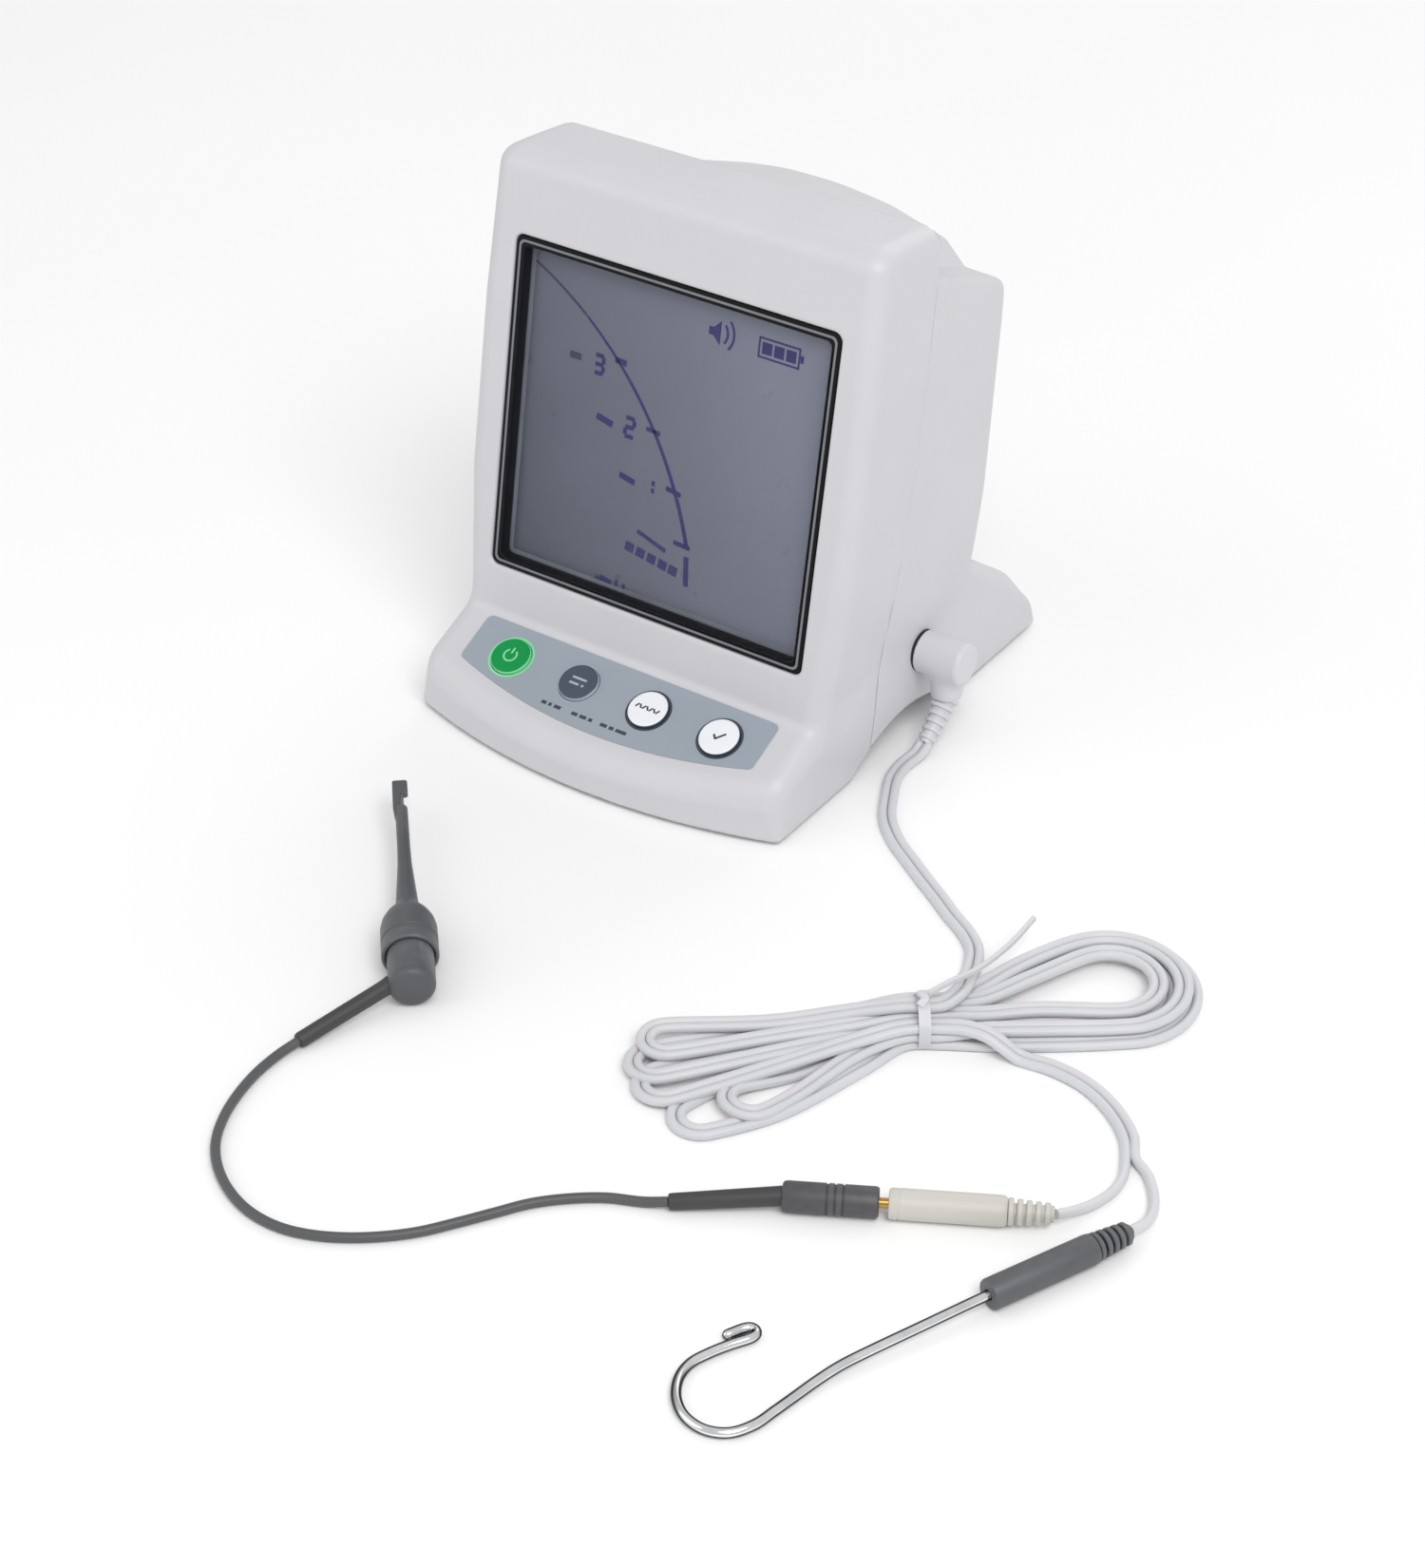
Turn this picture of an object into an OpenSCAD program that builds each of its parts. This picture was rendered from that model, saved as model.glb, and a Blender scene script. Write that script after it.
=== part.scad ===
// Apex locator: a desk-top display unit on an arched base, with its measuring lead,
// file clip and lip hook.  Millimetres.  X to the right, Y to the back, Z up; the origin
// is on the table under the middle of the display unit.

/* [Housing] */
// Half the width of the base
base_half_w = 49; // [47:0.5:52]
// Half the greatest width of the barrel-shaped body
body_half_w = 50.6; // [49:0.1:54]
// Furthest point of the curved front
front_y = -59; // [-62:0.5:-56]
// Furthest point of the rear foot
rear_y = 59; // [56:0.5:62]
// Height of the top above the table, before its edge is rounded
top_z = 126.2; // [120:0.1:132]
// Radius of the curved front, seen from above
front_arc_r = 145.5; // [120:0.5:180]
// Backward tilt of the screen face, in degrees
face_tilt = 10.28; // [8:0.01:13]
// Slope of the keypad deck, in degrees
deck_slope = 24.3; // [20:0.1:28]
// Slope of the rear roof, in degrees
roof_slope = 22.1; // [18:0.1:26]
// Lean of the rear face, in degrees
rear_lean = 5.6; // [4:0.1:8]
// Wall thickness of both shells
wall = 2.2; // [1.8:0.1:2.8]
// Distance of the joint between the shells behind the screen face
seam_depth = 23; // [20:0.5:26]
// Radius of the arch under the base
arch_r = 36.1; // [34:0.1:40]

/* [Screen] */
// Width of the screen opening
screen_w = 83.7; // [80:0.1:88]
// Height of the screen opening
screen_h = 77.1; // [72:0.1:80]
// Width of the black border inside the opening
border = 2.4; // [1.5:0.1:3.5]

/* [Keypad] */
// Radius of a key cap
key_r = 4.6; // [4:0.1:5]
// Distance from one key to the next
key_pitch = 18.9; // [17:0.1:20]
// Travel of a key
key_travel = 0.6; // [0.3:0.1:0.8]
// Half the width of the keypad label
label_half_w = 39.6; // [36:0.1:42]
// Thickness of the keypad label
label_t = 0.3; // [0.2:0.05:0.5]

/* [Battery compartment] */
// Width of the battery door
door_w = 64; // [62:0.5:68]
// Height of the battery door
door_h = 58; // [56:0.5:60]
// Radius of a battery cell
cell_r = 7.05; // [6.9:0.05:7.1]
// Length of a battery cell
cell_l = 49.5; // [48:0.5:50]

/* [Lead set] */
// Radius of one insulated conductor
wire_r = 1.0; // [0.9:0.05:1.1]
// Radius of the lead connectors
conn_r = 3.0; // [2.8:0.1:3.2]
// Radius of the jack plug's pin
jack_pin_r = 1.75; // [1.7:0.01:1.8]
// Radius of the clip lead's brass pin
brass_pin_r = 1.0; // [0.9:0.05:1.1]
// Radius of the lip hook's wire
hook_r = 1.0; // [0.9:0.05:1.1]
// Radial clearance of a pin in its socket
run_fit = 0.05; // [0.02:0.01:0.1]
// Height of the hank's lobes
lobe_h = 4.6; // [4.2:0.1:6]
// Height of the hank's waist, under its tie
waist_h = 8.2; // [8:0.1:9]

/* [File clip] */
// Radius of the clip's plunger
plunger_r = 4.85; // [4.5:0.05:5]
// Radius of the clip's barrel
barrel_r = 5.9; // [5.6:0.05:6.2]
// Depth of the spring space between barrel and plunger, which is the barrel's travel
clip_travel = 4.5; // [4:0.1:4.8]

/* [Hidden] */

$fn = 48;
eps = 0.01;
base_z = 0.6;
seg = 6;

// Screen face: a point on it, the middle of the screen
face_c = [0, -25.73, 69.38];
// Where the deck plane meets the top edge of the keypad label
deck_c = [0, -35.9, 20.07];
// Rear face: a point on it, the middle of the battery door
rear_c = [0, 32.8, 70];
// Top of the joint between the shells, where the roof starts
roof_c = [0, 9.5, 122.2];
// Middle of the arch's circle
arch_c = [0.5, 7.7 - arch_r];
// Middle of the front's circle
front_c = front_y + front_arc_r;
// Middle of the jack socket on the right wall
jack_c = [base_half_w, 7, 20.2];

// ---- shape helpers --------------------------------------------------------------------

function unit2(v) = v / norm(v);
function xy(p) = [p.x, p.y];
function turn(v, a) = [v.x * cos(a) - v.y * sin(a), v.x * sin(a) + v.y * cos(a)];

// Points of one rounded corner b between its neighbours a and c; b[2] is its radius
function corner(a, b, c) =
    b[2] == 0 ? [xy(b)] :
    let (u = unit2(xy(a) - xy(b)), v = unit2(xy(c) - xy(b)), half = acos(u * v) / 2,
         mid = xy(b) + unit2(u + v) * b[2] / sin(half),
         from = xy(b) + u * b[2] / tan(half) - mid,
         side = u.x * v.y - u.y * v.x > 0 ? -1 : 1)
    [for (k = [0:seg]) mid + turn(from, side * (180 - 2 * half) * k / seg)];

// Closed outline from corners [x, y, radius]
function rounded(p) =
    let (n = len(p)) [for (i = [0:n - 1]) each corner(p[(i + n - 1) % n], p[i], p[(i + 1) % n])];

// The same outline moved inwards by w; corners run anticlockwise
function inset(p, w) =
    let (n = len(p))
    [for (i = [0:n - 1])
        let (a = xy(p[(i + n - 1) % n]), b = xy(p[i]), c = xy(p[(i + 1) % n]),
             u = unit2(b - a), v = unit2(c - b), n1 = [-u.y, u.x], n2 = [-v.y, v.x],
             q = b + w * (n1 + n2) / (1 + n1 * n2), convex = u.x * v.y - u.y * v.x > 0)
        [q.x, q.y, convex ? max(p[i][2] - w, 0) : p[i][2] + w]];

module plate(w, h, r, t) {
    translate([0, 0, -t / 2])
        linear_extrude(t)
            polygon(rounded([[-w / 2, -h / 2, r], [w / 2, -h / 2, r], [w / 2, h / 2, r], [-w / 2, h / 2, r]]));
}

// Frame of the screen face: x right, y up the face, z out of it
module on_face() {
    translate(face_c) rotate([90 - face_tilt, 0, 0]) children();
}

// Frame of the keypad deck: x right, y up the slope, z out of it
module on_deck() {
    translate(deck_c) rotate([deck_slope, 0, 0]) children();
}

// Frame of the rear face: y up the face, z out of it
module on_rear() {
    translate(rear_c) rotate([90 + rear_lean, 0, 180]) children();
}

// A cylinder from point p, in plan direction yaw raised by pitch
module rod(p, yaw, pitch, from, to, r) {
    translate(p) rotate([0, 90 - pitch, yaw]) translate([0, 0, from]) cylinder(h = to - from, r = r);
}

// One ring of a flat or round cord: half its width rw, half its height rh
function ring(p, d, rw, rh) =
    let (h = norm([d.x, d.y]) > 0.001 ? unit2([d.x, d.y]) : [1, 0], dn = d / norm(d),
         across = [-h.y, h.x, 0], up = cross(dn, across))
    [for (k = [0:7]) p + across * rw * cos(45 * k) + up * rh * sin(45 * k)];

// A cord swept along its route's points
module cord(route, rw, rh) {
    n = len(route);
    rings = [for (i = [0:n - 1])
        each ring(route[i], route[min(i + 1, n - 1)] - route[max(i - 1, 0)], rw, rh)];
    sides = [for (i = [0:n - 2], k = [0:7])
        [(i + 1) * 8 + k, (i + 1) * 8 + (k + 1) % 8, i * 8 + (k + 1) % 8, i * 8 + k]];
    polyhedron(rings, concat([[for (k = [0:7]) k]], sides, [[for (k = [7:-1:0]) (n - 1) * 8 + k]]));
}

// ---- housing --------------------------------------------------------------------------

// Height of the deck plane at depth y
function deck_z(y) = deck_c.z + (y - deck_c.y) * tan(deck_slope);
// Depth of the screen face at height z
function face_y(z) = face_c.y + (z - face_c.z) * tan(face_tilt);
// Depth of the rear face at height z
function back_y(z) = rear_c.y + (z - rear_c.z) * tan(rear_lean);

valley_z = (deck_c.z + (face_y(0) - deck_c.y) * tan(deck_slope)) / (1 - tan(deck_slope) * tan(face_tilt));

// Side view of the body, [y, z, radius], anticlockwise from the front of the base
side_corners = [
    [front_y, base_z, 0.8], [rear_y, base_z, 0.8],
    [rear_y - 1.8, 6, 8], [47.5, 18.2, 14], [29.3, 32.4, 4],
    [back_y(111.2), 111.2, 5], [roof_c.y, roof_c.z, 8],
    [face_y(top_z), top_z, 6], [face_y(valley_z), valley_z, 3],
    [front_y, deck_z(front_y), 4.5]];

// Front view of the body, [x, z, radius], anticlockwise: the barrel-shaped sides
right_corners = [
    [base_half_w, base_z, 0.8], [base_half_w, 15, 12], [base_half_w - 0.6, 24, 20],
    [body_half_w, 52, 60], [body_half_w, 92, 60], [base_half_w + 0.3, top_z, 5]];
front_corners = concat(right_corners,
    [for (i = [len(right_corners) - 1:-1:0]) [-right_corners[i].x, right_corners[i].y, right_corners[i][2]]]);

// Crowned roof with a level shoulder on each side, [x, depth below the crown, radius]
roof_right = [[50.7, -150, 0], [50.7, -11.2, 3], [39, -10.8, 1.5], [33.5, -5.9, 2], [19, -2.1, 30], [6, -0.2, 40]];
roof_corners = concat(roof_right,
    [for (i = [len(roof_right) - 1:-1:0]) [-roof_right[i].x, roof_right[i].y, roof_right[i][2]]]);

// The whole body, moved inwards by w
module body_solid(w) {
    intersection() {
        translate([-60, 0, 0]) rotate([90, 0, 90]) linear_extrude(120) polygon(rounded(inset(side_corners, w)));
        translate([0, 80, 0]) rotate([90, 0, 0]) linear_extrude(160) polygon(rounded(inset(front_corners, w)));
        translate([0, front_c, -5]) cylinder(h = 140, r = front_arc_r - w, $fn = 180);
    }
}

module arch(w) {
    translate([-60, arch_c[0], arch_c[1]]) rotate([0, 90, 0]) cylinder(h = 120, r = arch_r + w, $fn = 120);
}

// The roof's outline, moved inwards by w, swept down the slope
module roof_solid(w) {
    translate(roof_c)
        rotate([90 + roof_slope, 0, 180])
            translate([0, 0, -80]) linear_extrude(180) polygon(rounded(inset(roof_corners, w)));
}

module in_front_of_seam(gap) {
    on_face() translate([-80, -120, gap - seam_depth]) cube([160, 240, 90]);
}

// The four long screws lie across the joint, [x, height up the face]
boss_xy = [for (sx = [-1, 1], v = [-27, 27]) [sx * 43.2, v]];
boss_r = 3.7;
pilot_r = 1.25;
shank_r = 1.4;
hole_r = 1.65;
head_r = 2.75;
bore_r = 3.1;
screw_seat = seam_depth + 6;

// Plan of the four rubber feet
foot_xy = [for (sx = [-1, 1], y = [-42, 49]) [sx * 36, y]];
foot_r = 4.2;
foot_sink = 1.2;

key_x = [for (i = [0:3]) (i - 1.5) * key_pitch + 0.5];
key_v = -8.4;
key_hole_r = key_r + 0.25;

module window_cut() {
    on_face() plate(screen_w, screen_h, 2, 3 * wall);
}

module front_housing() {
    color("#e4e3e8")
    difference() {
        intersection() {
            difference() {
                body_solid(0);
                arch(0);
            }
            in_front_of_seam(0);
        }
        difference() {
            body_solid(wall);
            arch(wall);
            // A back wall closes the shell above the rear shell's roof
            difference() {
                on_face() translate([-80, -120, -seam_depth]) cube([160, 240, wall]);
                roof_solid(wall);
            }
            // Screw bosses stand off the side walls
            intersection() {
                on_face() for (p = boss_xy) {
                    translate([p.x, p.y, -seam_depth]) cylinder(h = 11, r = boss_r);
                    translate([p.x > 0 ? p.x : p.x - 8, p.y - 1, -seam_depth]) cube([8, 2, 11]);
                }
                body_solid(wall - eps);
            }
        }
        window_cut();
        on_deck() for (x = key_x) translate([x, key_v, -10]) cylinder(h = 20, r = key_hole_r);
        on_face() for (p = boss_xy) translate([p.x, p.y, -seam_depth - 1]) cylinder(h = 10, r = pilot_r);
        for (p = foot_xy) if (p.y < 0) translate([p.x, p.y, -1]) cylinder(h = 1 + base_z + foot_sink, r = foot_r);
    }
}

// Sound holes over the arch, under the buzzer
buzzer_c = [-22, 6, 0];
sound_xy = concat([[0, 0]], [for (k = [0:5]) [4 * cos(60 * k), 4 * sin(60 * k)]]);

module rear_housing() {
    color("#e2e1e6")
    difference() {
        intersection() {
            difference() {
                body_solid(0);
                arch(0);
                in_front_of_seam(0);
            }
            roof_solid(0);
        }
        difference() {
            intersection() {
                body_solid(wall);
                roof_solid(wall);
            }
            arch(wall);
            // Screw tubes run from the joint to the rear face
            on_face() for (p = boss_xy) {
                translate([p.x, p.y, -75]) cylinder(h = 75 - seam_depth, r = boss_r + 0.7);
                translate([p.x > 0 ? p.x : p.x - 8, p.y - 1, -75]) cube([8, 2, 75 - seam_depth]);
            }
        }
        on_face() for (p = boss_xy) {
            translate([p.x, p.y, -80]) cylinder(h = 80, r = hole_r);
            translate([p.x, p.y, -80]) cylinder(h = 80 - screw_seat, r = bore_r);
        }
        // Opening for the battery door, with room for its hinge barrel
        on_rear() translate([0, 0, -wall / 2]) plate(door_w + 0.6, door_h + 0.6, 0.8, 2 * wall);
        translate([jack_c.x - 5, jack_c.y, jack_c.z]) rotate([0, 90, 0]) cylinder(h = 10, r = 4);
        for (p = sound_xy) translate([buzzer_c.x + p.x, buzzer_c.y + p.y, 0]) cylinder(h = 14, r = 0.8);
        for (p = foot_xy) if (p.y > 0) translate([p.x, p.y, -1]) cylinder(h = 1 + base_z + foot_sink, r = foot_r);
    }
}

module rubber_feet() {
    color("#3a3a3c")
    for (p = foot_xy) translate([p.x, p.y, 0]) cylinder(h = base_z + foot_sink, r = foot_r);
}

module housing_screws() {
    color("#a9abb0")
    on_face() for (p = boss_xy) translate([p.x, p.y, -screw_seat]) difference() {
        union() {
            translate([0, 0, -2]) cylinder(h = 2, r = head_r);
            cylinder(h = 6, r = shank_r);
            translate([0, 0, 6]) cylinder(h = 6, r = pilot_r);
        }
        for (a = [0, 90]) rotate([0, 0, a]) translate([-1.6, -0.35, -2.1]) cube([3.2, 0.7, 1.1]);
    }
}

// ---- battery compartment --------------------------------------------------------------

hinge_r = 1.8;
hinge_bore_r = 0.8;
hinge_v = -door_h / 2 + hinge_r;
tray_w = door_w + 1.6;
tray_h = door_h - 0.4;
tray_near = -3.2;
tray_far = -20.4;
cell_w = -2.9 - cell_r - 1.1;
cell_pitch = 15;
cell_v = 1.7;

module battery_door() {
    color("#e0dfe4")
    on_rear() difference() {
        union() {
            translate([0, hinge_r / 2, -1]) plate(door_w, door_h - hinge_r, 0.6, 2);
            translate([-door_w / 2, hinge_v, -hinge_r]) rotate([0, 90, 0]) cylinder(h = door_w, r = hinge_r);
            // Grip ribs near the top edge
            for (k = [0:4]) translate([-9, door_h / 2 - 12 + 1.8 * k, -0.2]) cube([18, 0.7, 0.6]);
        }
        translate([-door_w, hinge_v, -hinge_r]) rotate([0, 90, 0]) cylinder(h = 2 * door_w, r = hinge_bore_r);
        // Clearance behind the hinge barrel
        translate([-door_w, hinge_v - hinge_r - 1, -2 * hinge_r - 1]) cube([2 * door_w, 1, 2 * hinge_r]);
    }
}

module battery_door_pin() {
    color("#b5b7ba")
    on_rear() translate([-door_w / 2 - 2, hinge_v, -hinge_r]) rotate([0, 90, 0]) cylinder(h = door_w + 4, r = 0.75);
}

module battery_tray() {
    color("#3b3d40")
    on_rear() difference() {
        translate([-tray_w / 2, -tray_h / 2 + 3.4, tray_far]) cube([tray_w, tray_h - 3.4, tray_near - tray_far - 0.6]);
        translate([-tray_w / 2 + 1.4, -tray_h / 2 + 4.8, tray_far + 1.4]) cube([tray_w - 2.8, tray_h - 6.2, 20]);
    }
}

module aa_cell(i) {
    x = (i - 2.5) * cell_pitch;
    up = i % 2 == 0 ? 1 : -1;
    color("#4a6e57")
    on_rear() translate([x, cell_v, cell_w]) rotate([-90 * up, 0, 0]) translate([0, 0, -cell_l / 2]) {
        cylinder(h = cell_l - 1.2, r = cell_r);
        translate([0, 0, cell_l - 1.2 - eps]) cylinder(h = 1.2, r = 2.7);
    }
}

// Metal plates at both ends of the compartment, joining pairs of cells
module battery_contacts() {
    color("#c9cbd0")
    on_rear() for (side = [-1, 1], k = [-1, 0, 1]) {
        w = k == 0 ? 24 : 10;
        if (side < 0 || k != 0)
            translate([(k * (side < 0 ? 22.5 : 15)) - (side < 0 ? w : 22) / 2, cell_v + side * 25.57 - 0.1, cell_w - 4])
                cube([side < 0 ? w : 22, 0.2, 8]);
    }
}

module battery_springs() {
    color("#c9cbd0")
    on_rear() for (i = [1:4]) {
        up = i % 2 == 0 ? -1 : 1;
        translate([(i - 2.5) * cell_pitch, cell_v + up * 25.15, cell_w]) rotate([90, 0, 0])
            difference() {
                cylinder(h = 0.6, r = 3, center = true);
                cylinder(h = 1, r = 2.2, center = true);
            }
    }
}

// Two wires from the tray to the main board
lead_y = 11;
module battery_leads() {
    color("#b03a34")
    for (k = [0:1])
        cord([[24 + 4 * k, lead_y - 0.1, 60], [24 + 4 * k, lead_y - 2, 58], [24 + 4 * k, lead_y - 6, 58],
              [24 + 4 * k, lead_y - 12, 60], [24 + 4 * k, lead_y - 16.8, 60]], 0.6, 0.6);
}

// ---- display and electronics ----------------------------------------------------------

panel_w = 86;
panel_h = 79.5;
carrier_back = 11;
board_front = 13;

module screen_gasket() {
    color("#17171a")
    on_face() difference() {
        union() {
            translate([0, 0, -1.9]) plate(screen_w - 0.2, screen_h - 0.2, 1.9, 3);
            translate([0, 0, -2.9]) plate(screen_w + 3.4, screen_h + 3.4, 1.5, 1);
        }
        plate(screen_w - 2 * border, screen_h - 2 * border, 0.8, 10);
        translate([0, 0, -0.9]) plate(screen_w - 2 * border + 2, screen_h - 2 * border + 2, 0.8, 1.4);
    }
}

module screen_window() {
    color([0.75, 0.8, 0.85, 0.4])
    on_face() translate([0, 0, -1]) plate(screen_w - 2 * border + 1.9, screen_h - 2 * border + 1.9, 0.7, 1.2);
}

module lcd_panel() {
    color("#8a8f9d")
    on_face() translate([0, 0, -4.8]) plate(panel_w, panel_h, 0.5, 2.6);
}

module lcd_backlight() {
    color("#f2f2ee")
    on_face() translate([0, 0, -7.7]) plate(panel_w, panel_h, 0.5, 3);
}

module lcd_carrier() {
    color("#d8d8d4")
    on_face() difference() {
        union() {
            translate([0, 0, -7.3]) plate(panel_w + 3, panel_h + 3, 1.2, 7.4);
            for (sx = [-1, 1], sy = [-1, 1])
                translate([sx * 35, sy * 34, -board_front]) cylinder(h = board_front - carrier_back + eps, r = 2.6);
        }
        translate([0, 0, -5.9]) plate(panel_w + 0.2, panel_h + 0.2, 0.5, 7);
        for (sx = [-1, 1], sy = [-1, 1]) translate([sx * 35, sy * 34, -14]) cylinder(h = 4.2, r = 0.9);
    }
}

module main_board() {
    color("#2f6b45")
    on_face() {
        difference() {
            translate([0, 0, -board_front - 0.8]) plate(78, 78, 1, 1.6);
            for (sx = [-1, 1], sy = [-1, 1]) translate([sx * 35, sy * 34, -20]) cylinder(h = 10, r = 1.3);
        }
        // Chips, connectors and capacitors on the back of the board
        translate([-12, 2, -board_front - 3.4]) cube([16, 16, 1.81]);
        translate([14, -14, -board_front - 3]) cube([8, 10, 1.41]);
        translate([-30, -22, -board_front - 3]) cube([10, 6, 1.41]);
        translate([-28, 12, -board_front - 6.6]) cylinder(h = 5.01, r = 3.2);
        translate([-28, 21, -board_front - 6.6]) cylinder(h = 5.01, r = 3.2);
        translate([20, -11.5, -board_front - 5.8]) cube([14, 5, 4.21]);
    }
}

module board_screws() {
    color("#a9abb0")
    on_face() for (sx = [-1, 1], sy = [-1, 1]) translate([sx * 35, sy * 34, -board_front - 1.6]) {
        translate([0, 0, -1.4]) cylinder(h = 1.4, r = 2);
        cylinder(h = 4.6, r = 0.9);
    }
}

module buzzer() {
    color("#222226")
    translate([buzzer_c.x, buzzer_c.y, 10]) difference() {
        cylinder(h = 5, r = 9);
        translate([0, 0, -1]) cylinder(h = 1.6, r = 6);
    }
}

// ---- keypad ---------------------------------------------------------------------------

dome_top = -4.6;
dome_h = 1;
key_proud = 0.9;

// Outline of the keypad label in plan, moved outwards by grow; its lower edge follows the front
label_arc_r = front_arc_r - 6;
module label_plan(grow) {
    difference() {
        translate([-label_half_w - grow, front_y, 0]) cube([2 * (label_half_w + grow), deck_c.y - front_y, 40]);
        difference() {
            translate([-100, front_y - 60, -1]) cube([200, 102, 50]);
            translate([0, front_c, -2]) cylinder(h = 60, r = label_arc_r + grow, $fn = 180);
        }
    }
}

module keypad_label() {
    color("#96a3b2")
    difference() {
        intersection() {
            on_deck() translate([-60, -60, 0]) cube([120, 70, label_t]);
            label_plan(0);
        }
        on_deck() for (x = key_x) translate([x, key_v, -1]) cylinder(h = 3, r = key_hole_r);
    }
}

module key(i) {
    on_deck() translate([key_x[i], key_v, 0]) {
        translate([0, 0, -3.2]) cylinder(h = 3.2 + label_t + key_proud, r = key_r);
        translate([0, 0, -3.2]) cylinder(h = 0.8, r = key_r + 0.8);
        translate([0, 0, dome_top + key_travel + 0.15]) cylinder(h = 1.5, r = 1.5);
    }
}

module key_power() {
    color("#19a94b") key(0);
}

module key_mode() {
    color("#3b4854") key(1);
}

module key_select() {
    color("#edeff2") key(2);
}

module key_set() {
    color("#edeff2") key(3);
}

module dome_switches() {
    color("#c4c6ca")
    on_deck() for (x = key_x) translate([x, key_v, dome_top - dome_h]) {
        cylinder(h = 0.5, r = 3);
        cylinder(h = dome_h, r = 1.6);
    }
}

module key_board() {
    color("#2f6b45")
    on_deck() translate([-36, key_v - 6, dome_top - dome_h - 1.2]) cube([72, 12, 1.2]);
}

// Flat ribbon from the key board up to the main board
module ribbon_cable() {
    color("#c98d3f")
    translate([-8, 0, 0]) rotate([90, 0, 90])
        linear_extrude(16)
            polygon([[-35.2, 13.1], [-29, 12.4], [-21.0, 21], [-17.6, 28], [-16.8, 32.5], [-17.2, 32.5],
                     [-18.0, 28.2], [-21.4, 21.2], [-29.2, 12.8], [-35.2, 13.5]]);
}

// ---- jack socket ----------------------------------------------------------------------

module along_jack() {
    translate([0, jack_c.y, jack_c.z]) rotate([0, 90, 0]) children();
}

module jack_socket() {
    color("#1b1b1e")
    difference() {
        union() {
            translate([34, jack_c.y - 5.5, jack_c.z - 5]) cube([12, 11, 10]);
            along_jack() translate([0, 0, 45]) cylinder(h = 4.8, r = 3.9);
        }
        along_jack() translate([0, 0, 33]) cylinder(h = 20, r = jack_pin_r + run_fit);
    }
}

module jack_nut() {
    color("#1b1b1e")
    along_jack() translate([0, 0, jack_c.x + 0.02]) difference() {
        cylinder(h = 1, r = 5.3);
        translate([0, 0, -1]) cylinder(h = 4, r = 3.95);
    }
}

// ---- lead plug and measuring lead -----------------------------------------------------

plug_x = 55.4;
relief_top = [plug_x + 0.4, 6.6, 10.6];
relief_end = [plug_x + 0.4, -2.2, 2.9];
relief_slope = atan2(relief_top.z - relief_end.z, relief_top.y - relief_end.y);

module lead_plug_pin() {
    color("#c8a860")
    along_jack() {
        translate([0, 0, 35.8]) cylinder(h = 14.8, r = jack_pin_r);
        translate([0, 0, 34.6]) cylinder(h = 1.2, r = 1.3);
    }
}

module lead_plug_body() {
    color("#ececf0")
    union() {
        along_jack() translate([0, 0, 50.6]) cylinder(h = 10, r = 4.7);
        translate([plug_x - 3.9, jack_c.y - 3.9, 11.6]) cube([8, 7.6, 8]);
        translate([plug_x + 0.1, 6.8, 10.9]) cylinder(h = 1, r = 3.6);
    }
}

module lead_plug_relief() {
    color("#ececf0")
    difference() {
        rod(relief_end, 90, relief_slope, 0, norm(relief_top - relief_end) + 2, 2.9);
        translate([40, -10, 10.9]) cube([30, 30, 20]);
    }
}

// Routes on the table, chosen by hand
lead_route = [relief_end, [55.6, -5, 1.6], [55, -10, 1], [56, -15.5, 1], [58.5, -21, 1], [63, -29, 1],
              [69, -35, 1], [75.5, -39.5, 1], [81.5, -43.5, 1], [87, -47, 1], [93, -51, 1], [98, -54, 1],
              [102, -57.5, 1], [104.5, -62, 1], [106.5, -68, 1]];
twin_route = [[120, -83, 1], [127.5, -82.5, 1], [135, -81.5, 1], [143, -82.5, 1], [150.5, -86, 1],
              [156.5, -91, 1], [160, -96.5, 1]];
clip_branch_route = [[160, -96.5, 1], [161.6, -101, 1], [161.6, -106.5, 1], [160.2, -112, 1.2],
                     [158.4, -116.5, 2], [157, -119.8, 3]];
hook_branch_route = [[160, -96.5, 1], [164.5, -99, 1], [168.5, -103, 1], [170.8, -108, 1.4],
                     [171.2, -112, 2.2], [170.4, -115.9, 3]];
clip_route = [[95.4, -156.6, 1.7], [91, -158.8, 1.1], [85, -161.5, 1], [79.5, -165.5, 1], [74.2, -170.8, 1],
              [70, -177, 1], [66, -183, 1], [61.7, -189, 1], [56.7, -194, 1], [51, -198.2, 1],
              [45, -201.2, 1], [39, -202.7, 1], [32, -202.4, 1], [25, -200, 1], [18.5, -195.8, 1],
              [14, -191, 1], [10.7, -185, 1], [8.5, -178.5, 1], [7.2, -171.5, 1], [7.2, -165, 1.2],
              [8.2, -160, 1.7]];

module lead_cable() {
    color("#e8e8ea") cord(lead_route, 2 * wire_r, wire_r);
}

module twin_cable() {
    color("#e8e8ea") cord(twin_route, 2 * wire_r, wire_r);
}

module clip_branch() {
    color("#e8e8ea") cord(clip_branch_route, wire_r, wire_r);
}

module hook_branch() {
    color("#e8e8ea") cord(hook_branch_route, wire_r, wire_r);
}

// The tied hank: two lobes that meet in a narrow waist under the tie
hank_c = [107, -86, 0];
hank_yaw = 36.9;
waist = [0, -0.5, 6];
module lobe(ends) {
    linear_extrude(lobe_h) hull() for (e = concat([waist], ends)) translate([e.x, e.y]) circle(r = e.z, $fn = 32);
}

module lead_hank() {
    color("#e8e8ea")
    translate(hank_c) rotate([0, 0, hank_yaw]) {
        lobe([[39.5, 11, 18.5]]);
        lobe([[-53, -5.5, 7], [-52.5, -12, 7], [-44.5, -24.2, 7.2]]);
        translate([-9, -6.5, 0]) cube([18, 13, waist_h]);
    }
}

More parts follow.
